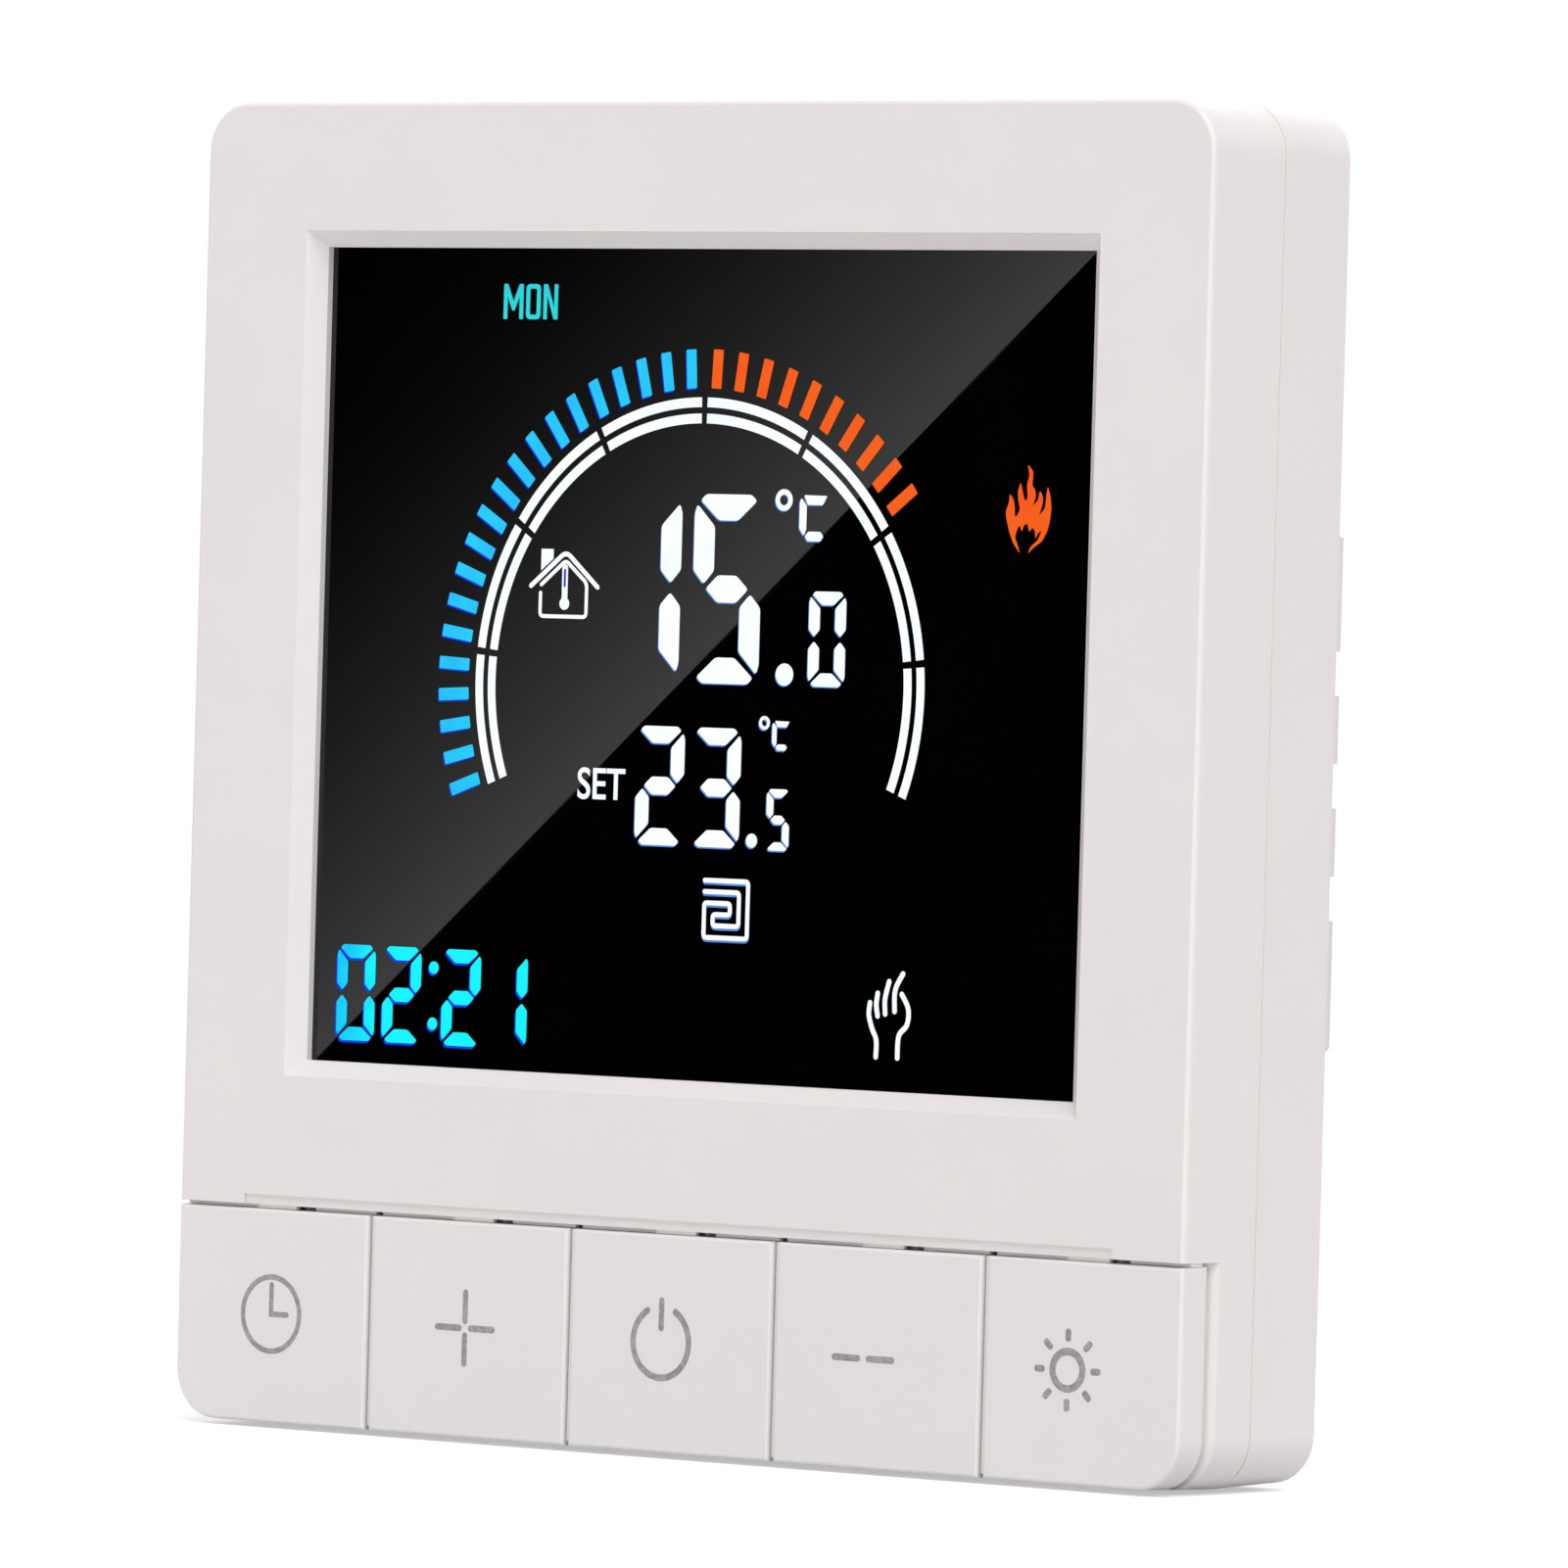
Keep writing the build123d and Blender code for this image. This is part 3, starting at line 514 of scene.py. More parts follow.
# Geometry Nodes for what repeats: each tree has named inputs and ends in one mesh of one ink
def newTree(name, sockets):
    tree = bpy.data.node_groups.new(name, "GeometryNodeTree")
    for label, kind in sockets.items():
        tree.interface.new_socket(label, in_out="INPUT", socket_type=f"NodeSocket{kind}")
    tree.interface.new_socket("Geometry", in_out="OUTPUT", socket_type="NodeSocketGeometry")
    return tree, addNode(tree, "NodeGroupInput")


def closeTree(tree, given, instances):
    solid = addNode(tree, "GeometryNodeRealizeInstances", {"Geometry": instances})["Geometry"]
    inked = addNode(tree, "GeometryNodeSetMaterial", {"Geometry": solid, "Material": given["Ink"]})
    addNode(tree, "NodeGroupOutput", {"Geometry": inked["Geometry"]})


def addSpot(tree, **axes):
    return addNode(tree, "ShaderNodeCombineXYZ", axes)["Vector"]


def addCopies(tree, points, shape, **more):
    return addNode(tree, "GeometryNodeInstanceOnPoints", {"Points": points, "Instance": shape, **more})["Instances"]


def turnedCopies(tree, given, shape, radius):
    index = addNode(tree, "GeometryNodeInputIndex")["Index"]
    angle = addMath(tree, "ADD", addMath(tree, "MULTIPLY", index, given["Step"]), given["Start"])
    spot = addSpot(tree, X=addMath(tree, "MULTIPLY", addMath(tree, "SINE", angle), radius),
                   Z=addMath(tree, "MULTIPLY", addMath(tree, "COSINE", angle), radius))
    place = addNode(tree, "ShaderNodeVectorMath", {0: spot, 1: given["Middle"]})["Vector"]
    places = addNode(tree, "GeometryNodePoints", {"Count": given["Count"], "Position": place})
    return addCopies(tree, places["Points"], shape, Rotation=addSpot(tree, Y=angle))


def sweptMesh(tree, path, profile, facing):
    values = {"Curve": path, "Profile Curve": profile, "Fill Caps": True}
    mesh = addNode(tree, "GeometryNodeCurveToMesh", values)["Mesh"]
    return addNode(tree, "GeometryNodeTransform", {"Geometry": mesh, "Rotation": (facing * pi / 2, 0, 0)})["Geometry"]


def addOblong(tree, width, height):
    return addNode(tree, "GeometryNodeCurvePrimitiveQuadrilateral", {"Width": width, "Height": height})["Curve"]


def roundBar(tree, given, facing):
    values = {"Curve": addOblong(tree, given["Width"], given["Length"]), "Count": 4, "Limit Radius": True,
              "Radius": given["Corner"]}
    outline = addNode(tree, "GeometryNodeFilletCurve", values, mode="POLY")["Curve"]
    edge = addNode(tree, "GeometryNodeCurvePrimitiveLine", {"End": addSpot(tree, Z=given["Thickness"])})
    return sweptMesh(tree, edge["Curve"], outline, facing)


turning = {"Count": "Int", "Start": "Float", "Step": "Float", "Middle": "Vector", "Ink": "Material"}
barSize = dict.fromkeys(("Width", "Length", "Corner", "Thickness"), "Float")

tree, given = newTree("dialTicks", {**turning, **barSize, "Radius": "Float"})
closeTree(tree, given, turnedCopies(tree, given, roundBar(tree, given, 1), given["Radius"]))

bandSize = dict.fromkeys(("Radius", "Sweep", "Width", "Thickness"), "Float")
tree, given = newTree("dialBand", {**turning, **bandSize})
start = addMath(tree, "ADD", addMath(tree, "MULTIPLY", given["Sweep"], -0.5), pi / 2)
arc = addNode(tree, "GeometryNodeCurveArc", {"Resolution": 20, "Radius": given["Radius"], "Start Angle": start,
                                             "Sweep Angle": given["Sweep"]})["Curve"]
flat = addNode(tree, "GeometryNodeSetCurveNormal", {"Curve": arc}, mode="Z_UP")["Curve"]
band = sweptMesh(tree, flat, addOblong(tree, given["Width"], given["Thickness"]), 1)
closeTree(tree, given, turnedCopies(tree, given, band, 0.0))

tree, given = newTree("chipLegs", {"Places": "Geometry", **turning, "Row": "Int", "Pitch": "Float", "Reach": "Float"})
index = addNode(tree, "GeometryNodeInputIndex")["Index"]
first = addMath(tree, "MULTIPLY", addMath(tree, "SUBTRACT", given["Row"], 1.0), 0.5)
offset = addMath(tree, "MULTIPLY", addMath(tree, "SUBTRACT", index, first), given["Pitch"])
spot = addSpot(tree, X=offset, Z=given["Reach"])
row = addNode(tree, "GeometryNodePoints", {"Count": given["Row"], "Position": spot})["Points"]
closeTree(tree, given, turnedCopies(tree, given, addCopies(tree, row, given["Places"]), 0.0))

tree, given = newTree("placedBars", {"Places": "Geometry", **barSize, "Ink": "Material"})
closeTree(tree, given, addCopies(tree, given["Places"], roundBar(tree, given, -1)))

tree, given = newTree("placedDomes", {"Places": "Geometry", "Radius": "Float", "Height": "Float", "Ink": "Material"})
ball = addNode(tree, "GeometryNodeMeshUVSphere", {"Segments": 12, "Rings": 8})["Mesh"]
size = addSpot(tree, X=given["Radius"], Y=given["Height"], Z=given["Radius"])
dome = addNode(tree, "GeometryNodeTransform", {"Geometry": ball, "Scale": size})["Geometry"]
closeTree(tree, given, addCopies(tree, given["Places"], dome))


def growPiece(name, treeName, sizes, values, body, start=None):
    tree = bpy.data.node_groups[treeName]
    host = addObject(name, start or bpy.data.meshes.new(name))
    modifier = host.modifiers.new(treeName, "NODES")
    modifier.node_group = tree
    values = {**values, **{label: size * mm for label, size in sizes.items()}}  # sizes are in mm
    for socket in tree.interface.items_tree:
        if socket.in_out == "INPUT" and socket.name != "Places":
            modifier[socket.identifier] = values[socket.name]
    host.data = bpy.data.meshes.new_from_object(host.evaluated_get(bpy.context.evaluated_depsgraph_get()))
    host.modifiers.remove(modifier)
    dress(host, body)


# the dial: ticks and two bands round the reading, with a deep blue copy of the cool ticks, moved down and left, painted
# behind them as their shadow
dial = {"x": 0.05, "z": 6.1, "lift": 0.02, "haze": (-0.09, -0.1), "hazeLift": 0.002,
        "tick": {"Radius": 21.14, "Width": 0.83, "Length": 2.6, "Corner": 0.08, "Thickness": 0.02}, "tickStep": 5.6,
        "ticks": {"coolTicks": (20, -109.6, "blue"), "warmTicks": (10, 2.8, "orange"),  # count, start and ink
                  "coolTicksHaze": (20, -109.6, "deep")},
        "band": {"Width": 0.65, "Thickness": 0.02}, "bandRadii": {"outerBand": 18.9, "innerBand": 17.82},
        "segments": 8, "segmentStep": 28.07, "segmentGap": 1.5}
dialFace = lensY - (dial["lift"] + dial["band"]["Thickness"] / 2) * mm
dialMiddle = (dial["x"] * mm, dialFace, dial["z"] * mm)
paintedShadowMiddle = ((dial["x"] + dial["haze"][0]) * mm, lensY - dial["hazeLift"] * mm, (dial["z"] + dial["haze"][1]) * mm)
for name, (count, start, ink) in dial["ticks"].items():
    growPiece(name, "dialTicks", dial["tick"], {
        "Count": count, "Start": radians(start), "Step": radians(dial["tickStep"]), "Ink": inks[ink],
        "Middle": paintedShadowMiddle if "Haze" in name else dialMiddle}, "front_part")
for name, radius in dial["bandRadii"].items():
    growPiece(name, "dialBand", {"Radius": radius, **dial["band"]}, {
        "Count": dial["segments"], "Start": radians(-(dial["segments"] - 1) / 2 * dial["segmentStep"]),
        "Step": radians(dial["segmentStep"]), "Sweep": radians(dial["segmentStep"] - dial["segmentGap"]),
        "Middle": dialMiddle, "Ink": inks["white"]}, "front_part")
print("dial drawn")


# numbers made of seven bars with pointed ends
barsOf = {"0": "abcdef", "1": "bc", "2": "abged", "3": "abgcd", "5": "afgcd"}


def numberShapes(digit, left, bottom, width, height, bar):
    right, top, middle, corner = left + width, bottom + height, bottom + height / 2, 0.13 * bar
    wide, half = width / bar, height / bar / 2  # in bars
    cap = [(0.28, 0.24), (0.55, 0), (wide - 0.55, 0), (wide - 0.28, 0.24), (wide - 1.2, 1), (1.2, 1)]
    post = [(0.12, 0.4), (1, 1.24), (1, half - 0.68), (0.5, half - 0.18), (0, half - 0.7), (0, 0.75)]
    waist = [(0.62, 0), (1.2, 0.52), (wide - 1.2, 0.52), (wide - 0.62, 0), (wide - 1.2, -0.52), (1.2, -0.52)]
    places = {"a": (cap, left, 1, top, -1), "b": (post, right, -1, top, -1), "c": (post, right, -1, bottom, 1),
              "d": (cap, left, 1, bottom, 1), "e": (post, left, 1, bottom, 1), "f": (post, left, 1, top, -1),
              "g": (waist, left, 1, middle, 1)}
    shapes = []
    for outline, startX, sideX, startZ, sideZ in (places[name] for name in barsOf[digit]):
        points = [(startX + sideX * x * bar, startZ + sideZ * z * bar) for x, z in outline]
        shapes.append(roundShape(points, corner))
    return shapes


def degreeShapes(left, bottom, width, height, bar):
    top, wide, tall, corner = bottom + height, width / bar, height / bar, 0.16 * bar
    lid = [(0.55, 0), (wide, 0.05), (wide - 0.55, 1), (1.05, 1)]
    post = [(0.2, 0.3), (0.9, 1.1), (0.9, tall - 1.2), (0.6, tall - 0.55), (0, tall - 1.3), (0, 0.7)]
    foot = [(0.75, -0.5), (1.1, 0), (wide - 0.8, 0), (wide - 0.4, -0.5), (wide - 0.8, -1), (1.2, -1)]
    return [roundShape([(left + x * bar, start - z * bar) for x, z in outline], corner)
            for outline, start in ((lid, top), (post, top), (foot, bottom))]


# the last entry moves a glowing blue copy of each reading down and left, painted behind it as its shadow
roomReading = {"digits": (("1", -7.36, 5.77), ("5", -0.51, 5.77)), "bottom": 6.3, "height": 12.6, "bar": 1.74,
               "tenth": ("0", 9.45, 6.3, 3.1, 6.3, 0.9), "dot": (7.48, 7.04, 0.74),
               "ring": (7.05, 18.6, 0.54, 0.36), "letter": (8.4, 15.9, 2.3, 3.05, 0.64), "haze": (-0.08, -0.08)}
setReading = {"digits": (("2", -4.96, 4.12), ("3", -0.13, 4.12)), "bottom": -4.6, "height": 7.95, "bar": 1.14,
              "tenth": ("5", 6.3, -4.65, 1.92, 4.08, 0.56), "dot": (5.08, -4.05, 0.47),
              "ring": (5.91, 3.8, 0.34, 0.22), "letter": (6.6, 2.0, 1.42, 1.95, 0.4), "haze": (-0.09, -0.1)}
for name, reading in (("roomReading", roomReading), ("setReading", setReading)):
    shapes = [dotShape(*reading["dot"]), ringShape(*reading["ring"])] + degreeShapes(*reading["letter"])
    shapes += numberShapes(*reading["tenth"])
    for digit, left, width in reading["digits"]:
        shapes += numberShapes(digit, left, reading["bottom"], width, reading["height"], reading["bar"])
    drawWithPaintedShadow(name, shapes, "white", reading["haze"], "haze")

# a deep blue copy of the clock, moved down and left, is painted behind it as its shadow
clockReading = {"digits": (("0", -30.71), ("2", -26.64), ("2", -21.38), ("1", -17.27)),
                "size": (-18.72, 3.38, 6.52, 0.92),  # bottom, width, height and bar
                "dots": ((-22.15, -13.5, 0.42), (-22.15, -17.3, 0.42)), "haze": (-0.12, -0.16)}
shapes = [dotShape(*dot) for dot in clockReading["dots"]]
for digit, left in clockReading["digits"]:
    shapes += numberShapes(digit, left, *clockReading["size"])
drawWithPaintedShadow("clockReading", shapes, "cyan", clockReading["haze"], "deep")

# each loop of a letter: left, width, corner and its outline as shares of width and height
weekday = {"bottom": 30.42, "height": 2.37, "loops": (
    (-17.6, 1.7, 0.07, [(0, 0), (0, 1), (0.2, 1), (0.5, 0.5), (0.8, 1), (1, 1), (1, 0), (0.81, 0), (0.81, 0.66),
                        (0.55, 0.24), (0.45, 0.24), (0.19, 0.66), (0.19, 0)]),
    (-14.13, 1.25, 0.07, [(0, 0), (0, 1), (0.28, 1), (0.75, 0.32), (0.75, 1), (1, 1), (1, 0), (0.73, 0), (0.25, 0.7),
                          (0.25, 0)]),
    (-15.64, 1.25, 0.35, [(0, 0), (0, 1), (1, 1), (1, 0)]),
    (-15.64, 1.25, 0.12, [(0.26, 0.13), (0.26, 0.87), (0.74, 0.87), (0.74, 0.13)]))}
letterM, letterN, letterO, holeO = (
    roundShape([(left + width * x, weekday["bottom"] + weekday["height"] * z) for x, z in outline], corner)
    for left, width, corner, outline in weekday["loops"])
drawSign("weekday", [letterM, letterN, (letterO, holeO)], "teal")
setWord = {"text": "SET", "box": (-10.0, -1.72, -5.9, 0.42), "weight": 0.012}
addWord("setWord", setWord["text"], setWord["box"], inks["white"], lensY, *signFit["sign"], "front_part", "lens",
        weight=setWord["weight"])
print("readings drawn")


# small signs on the display
house = {"roof": [(-14.55, 12.5), (-11.55, 14.85), (-8.75, 12.5)], "roofBend": 0.5, "roofWidth": 0.32,
         "wall": [(-13.7, 12.05), (-13.7, 10.48), (-9.7, 10.48), (-9.7, 12.75), (-11.55, 14.25), (-13.65, 12.6)],
         "wallBend": 0.3, "wallWidth": 0.26,
         "chimney": [(-13.7, 13.55), (-13.7, 15.0), (-12.65, 15.0), (-12.65, 14.35)],
         "stem": [(-11.6, 11.6), (-11.6, 13.75)], "stemWidth": 0.48, "slot": [(-11.6, 12.55), (-11.6, 13.6)],
         "slotWidth": 0.18, "bulb": (-11.6, 11.35, 0.42)}
roof, wall = (strokeShape(filletPath(house[line], house[f"{line}Bend"]), house[f"{line}Width"])
              for line in ("roof", "wall"))
stem, slot = (strokeShape(house[line], house[f"{line}Width"]) for line in ("stem", "slot"))
drawSign("houseSign", [roof, wall, house["chimney"], stem, dotShape(*house["bulb"])], "white", "house")
drawSign("houseSignSlot", [slot], "deep", "slot")

# a blue copy of the pipe, moved down, is painted behind it as its shadow
pipe = {"path": [(1.2, -6.8), (4.9, -6.8), (4.9, -10.6), (1.2, -10.6), (1.2, -8.3), (3.4, -8.3), (3.4, -9.05),
                 (1.95, -9.05), (1.95, -9.8), (4.15, -9.8), (4.15, -7.55), (1.2, -7.55)],
        "width": 0.32, "bend": 0.24, "haze": (0, -0.14)}
shapes = [strokeShape(filletPath(pipe["path"], pipe["bend"]), pipe["width"])]
drawWithPaintedShadow("pipeSign", shapes, "white", pipe["haze"], "haze")

hand = {"lines": ([(15.47, -14.4), (15.4, -15.2), (15.7, -16.1), (16.07, -16.85), (16.07, -17.95)],
                  [(16.1, -13.75), (16.0, -14.5), (16.13, -15.25)],
                  [(17.03, -12.95), (16.72, -14.1), (16.76, -15.1)],
                  [(18.17, -12.4), (17.55, -13.5), (17.54, -14.9)],
                  [(18.11, -13.75), (18.68, -14.7), (18.6, -15.75), (17.95, -16.5), (17.87, -17.95)]),
        "width": 0.36}
drawSign("handSign", [strokeShape(smoothPath(line), hand["width"]) for line in hand["lines"]], "white")

flame = {"x": 27.4, "z": 15.3, "corner": 0.16, "outline": [
    (-0.53, 0.1), (-1.1, 0.77), (-1.47, 1.57), (-1.74, 2.48), (-1.77, 2.85), (-1.54, 3.4), (-1.47, 4.02), (-1.13, 3.55),
    (-1.06, 3.1), (-1.02, 2.45), (-0.83, 2.58), (-0.6, 3.0), (-0.76, 3.55), (-0.83, 4.13), (-0.62, 4.77), (-0.46, 4.23),
    (-0.33, 3.75), (-0.12, 3.5), (0.0, 3.8), (-0.09, 4.6), (0.11, 5.25), (-0.06, 5.94), (0.38, 5.5), (0.38, 4.98),
    (0.31, 4.6), (0.62, 4.23), (0.65, 3.8), (0.41, 3.2), (0.85, 3.6), (0.99, 4.26), (1.26, 3.8), (1.22, 3.38),
    (0.95, 2.58), (1.46, 3.1), (1.52, 3.86), (1.63, 4.53), (1.86, 3.86), (1.96, 3.06), (1.86, 2.26), (1.66, 1.57),
    (1.26, 0.93), (0.58, 0.51), (0.11, 0.1), (0.38, 0.6), (0.93, 1.0), (1.25, 1.7), (0.85, 1.4), (0.72, 1.05),
    (0.68, 1.6), (0.45, 1.85), (0.2, 1.5), (0.02, 2.1), (-0.28, 1.95), (-0.42, 1.5), (-0.6, 2.0), (-0.85, 1.6),
    (-0.98, 1.15), (-0.75, 0.68)]}
drawSign("flameSign", movedShapes([roundShape(flame["outline"], flame["corner"])], flame["x"], flame["z"]), "orange")
print("signs drawn")


# signs printed on the keys
printFit, barWidth = (-0.02, 0.02), 0.45  # lift and thickness, width of a bar
clockSign = {"x": -34.5, "z": -37.6, "radius": 2.53, "ring": 0.38, "minute": 2.0, "hour": 1.4, "hand": 0.38}
plusSign = {"x": -17.25, "z": -37.62, "reach": 2.62, "gap": 0.27, "ways": ((1, 0), (-1, 0), (0, 1), (0, -1))}
powerSign = {"x": -0.22, "z": -37.62, "radius": 2.38, "opening": 30, "stemTop": 3.0, "stemBottom": 0.95}
minusSign = {"x": 16.93, "z": -37.75, "reach": 2.62, "gap": 0.23, "ways": ((-1, 0), (1, 0))}
lightSign = {"x": 33.85, "z": -37.55, "radius": 1.22, "ring": 0.5, "rays": 8,
             "ray": {"Radius": 2.28, "Width": 0.46, "Length": 0.84, "Corner": 0.207, "Thickness": 0.02}}


def barsRound(sign):
    inset = barWidth / 2  # the round ends stay inside the reach
    near, far = sign["gap"] + inset, sign["reach"] - inset
    return [strokeShape([(sign["x"] + dx * near, sign["z"] + dz * near), (sign["x"] + dx * far, sign["z"] + dz * far)],
                        barWidth) for dx, dz in sign["ways"]]


def signRing(sign):
    return ringShape(sign["x"], sign["z"], sign["radius"], sign["ring"])


x, z = clockSign["x"], clockSign["z"]
hands = strokeShape([(x, z + clockSign["minute"]), (x, z), (x + clockSign["hour"], z)], clockSign["hand"])
x, z = powerSign["x"], powerSign["z"]
arc = arcPath(x, z, powerSign["radius"], powerSign["opening"], 360 - powerSign["opening"])
stem = [(x, z + powerSign["stemTop"] - barWidth / 2), (x, z + powerSign["stemBottom"])]
signShapes = {"time": [signRing(clockSign), hands], "plus": barsRound(plusSign),
              "power": [strokeShape(path, barWidth) for path in (arc, stem)],
              "minus": barsRound(minusSign), "light": [signRing(lightSign)]}
for key, shapes in signShapes.items():
    addPlates(f"{key}Sign", shapes, inks["print"], frontY, *printFit, bodyOf[f"key_{key}"], "key_plastic")
growPiece("lightSignRays", "dialTicks", lightSign["ray"], {
    "Count": lightSign["rays"], "Start": 0.0, "Step": 2 * pi / lightSign["rays"], "Ink": inks["print"],
    "Middle": (lightSign["x"] * mm, frontY - printFit[0] * mm, lightSign["z"] * mm)},
    bodyOf["key_light"])
print("key signs printed")


# plain numbers beside the driver holes on the back
terminalNumbers = {"height": 2.6, "inward": 5.6}
for side, name, first in ((-1, "left", 1), (1, "right", 4)):
    for count in range(3):
        x, z = middleOf(f"terminal_screw_{name}_{count + 1}")
        x, rise = x - side * terminalNumbers["inward"], terminalNumbers["height"] / 2
        addWord(f"terminalNumber{first + count}", str(first + count), (-x, z - rise, None, z + rise), inks["print"],
                backY, *printFit, "wall_part", "case_plastic", -1)
print("terminal numbers printed")


# a step in the seam between the halves, which keeps it a hairline
seam = {"depth": 7.55, "inset": 0.06, "width": 0.5, "height": 0.11, "corner": 3.59}
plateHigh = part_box("wall_plate")[1] / mm
insets = (seam["inset"], seam["inset"] + seam["width"])
loops = tuple(boxLoop(0, 0, plateHigh.x - d, plateHigh.z - d, seam["corner"] - d) for d in insets)
addPlates("seamStep", [loops], skins["case_plastic"], frontY, -seam["depth"], seam["height"],
          "wall_part", "case_plastic")
print("seam stepped")


# a lip of the cover behind the slit above the keys, nearer the front at the keys' arms, open beside them
def addTrim(name, shapes, depth, thickness):
    addPlates(name, shapes, skins["case_plastic"], frontY, -depth, -thickness, "front_part", "case_plastic")


dustLip = {"top": -30.1, "bottom": -30.42, "armHalf": 1.7, "opening": 1.3, "inset": 0.1, "end": 0.8,
           "dustLip": (0.95, 0.35), "dustLipArms": (0.45, 0.35), "dustLipEnds": (0.95, 1.2)}  # depth and thickness
lips = {"dustLip": [], "dustLipArms": [], "dustLipEnds": []}
for key in keyNames:
    low, high = (corner.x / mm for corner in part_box(f"key_{key}"))
    low, high = low + dustLip["inset"], high - dustLip["inset"]
    if key == keyNames[0]:
        lips["dustLipEnds"].append((low, low + dustLip["end"]))
        low += dustLip["end"]
    if key == keyNames[-1]:
        lips["dustLipEnds"].append((high - dustLip["end"], high))
        high -= dustLip["end"]
    armLeft, armRight = (middleOf(f"switch_{key}")[0] + side * dustLip["armHalf"] for side in (-1, 1))
    lips["dustLip"] += [(low, armLeft), (armRight + dustLip["opening"], high)]
    lips["dustLipArms"].append((armLeft, armRight))
for name, spans in lips.items():
    addTrim(name, [boxShape(left, dustLip["bottom"], right, dustLip["top"]) for left, right in spans], *dustLip[name])

# ribs of the cover in the gaps between the keys
keyRibs = {"width": 0.22, "bottom": -44.7, "top": -30.5, "depth": 0.38, "thickness": 2.69}
shapes = []
for left, right in zip(keyNames, keyNames[1:]):
    middle = (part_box(f"key_{left}")[1].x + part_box(f"key_{right}")[0].x) / 2 / mm
    near, far = middle - keyRibs["width"] / 2, middle + keyRibs["width"] / 2
    shapes.append(boxShape(near, keyRibs["bottom"], far, keyRibs["top"]))
addTrim("keyRibs", shapes, keyRibs["depth"], keyRibs["thickness"])
print("slit and gaps dressed")


# the back of the control board, seen when the front is pulled off
def addOnBoard(name, shapes, ink, height, slot):
    addPlates(name, shapes, inks[ink], boardY, 0, -height, "front_part", slot)


def growOnBoard(name, treeName, sizes, places, ink):
    mesh = bpy.data.meshes.new(f"{name}Places")
    mesh.from_pydata([(x * mm, boardY, z * mm) for x, z in places], [], [])
    growPiece(name, treeName, sizes, {"Ink": inks[ink]}, "front_part", mesh)


def bentStrip(name, strip, path, place=(0, 0, 0)):
    outline = strokeShape(path, strip["thickness"], 3)  # path is out (Z) and off the board (Y)
    spots = (lambda z, y, x=x: ((place[0] + x) * mm, (place[1] + y) * mm, (place[2] + z) * mm)
             for x in (-strip["width"] / 2, strip["width"] / 2))
    return slabMesh(name, [outline], inks["tin"], *spots)


chipX, chipZ = middleOf("microcontroller")
cellX, cellZ = middleOf("clock_battery")
pins = {"legs": 11, "middleLeg": 5, "supplyLeg": 8, "sides": 4, "row": {"Pitch": 0.8, "Reach": 4.95},
        "path": [(0, 0.68), (0.32, 0.68), (0.52, 0.07), (0.95, 0.07)], "thickness": 0.14, "width": 0.32}
tracks = {"width": 0.34, "height": 0.03, "bend": 0.7, "bottom": 24.9, "right": -7.9, "top": 37.2}  # sides of the chip
lanes = {"x": -34.5, "step": 0.9, "run": -30.6, "runStep": 0.8, "approach": 1.2}  # to the switches
fan = {"z": -11.0, "first": -2.4, "step": 2.0, "end": -18.0, "bend": 0.25}  # to the display's contacts
socket = {"x": -5.08, "step": 2.54, "top": 20.4}  # to the power half
upper = {"count": 4, "z": 38.3, "step": 0.75, "end": 24.0, "spread": 1.4}  # to the lamps
bus = {"z": 8.0, "width": 0.8, "bend": 1.2, "gap": 0.01, "row": 5.0, "end": 1.6, "first": 19.0, "step": 3.2, "count": 5,
       "cellSide": 6.2}  # to the battery
via = {"radius": 0.33, "ring": 0.32, "steps": 16, "height": 0.05}
joint = {"dome": {"Radius": 0.72, "Height": 0.36}, "across": 3.25, "up": 2.25, "cell": 6.4}
smallParts = {"Bodies": {"Width": 1.25, "Length": 1.9, "Corner": 0.08, "Thickness": 0.42},
              "Ends": {"Width": 1.28, "Length": 0.42, "Corner": 0.08, "Thickness": 0.45},
              "endOffset": 0.79, "switchRow": -33.3,
              "capacitors": ((-7.6, 22.8), (7.4, 23.6), (-26.5, 31.0), (-26.5, 34.0))}
strap = {"path": [(-6.7, 0.08), (-5.55, 0.08), (-5.15, 2.08), (1.5, 2.08)], "bend": 0.25, "thickness": 0.16,
         "width": 3.2}
marks = {"height": 0.02, "cellRing": (5.75, 0.18), "chipDot": (-5.9, -5.7, 0.35), "signWidth": 0.22,
         "sign": ([(6.4, 4.2), (8.0, 4.2)], [(7.2, 4.45), (7.2, 5.0)], [(7.2, 3.95), (7.2, 3.4)]),
         "switchFrame": ((3.1, 0.4), (2.95, 0.25))}  # half width and corner

trackShapes, vias, joints, resistors = [], [], [], []


def addTrack(route, bend=tracks["bend"], width=tracks["width"]):
    trackShapes.append(strokeShape(filletPath(route, bend, 1), width))


def legOffset(leg):
    return (leg - pins["middleLeg"]) * pins["row"]["Pitch"]


for i, key in enumerate(keyNames):
    x, z = middleOf(f"switch_{key}")
    joints += [(x + a * joint["across"], z + b * joint["up"]) for a in (-1, 1) for b in (-1, 1)]
    x, z = joints[-1]
    lane, run = lanes["x"] + i * lanes["step"], lanes["run"] + i * lanes["runStep"]
    leg, end = chipX + legOffset(i), tracks["bottom"]
    slope = end - lanes["approach"] - (leg - lane)
    addTrack([(x, z), (x, run), (lane, run), (lane, slope), (leg, slope + leg - lane), (leg, end)])
    resistors.append((x, smallParts["switchRow"]))
    leg, x = chipX + legOffset(pins["middleLeg"] + 1 + i), chipX + fan["first"] + i * fan["step"]
    addTrack([(leg, end), (leg, fan["z"]), (x, fan["z"] - abs(x - leg)), (x, fan["end"])], fan["bend"])
    vias.append((x, fan["end"]))
    z, x = chipZ + legOffset(i), socket["x"] + i * socket["step"]
    addTrack([(tracks["right"], z), (x, z), (x, socket["top"])])
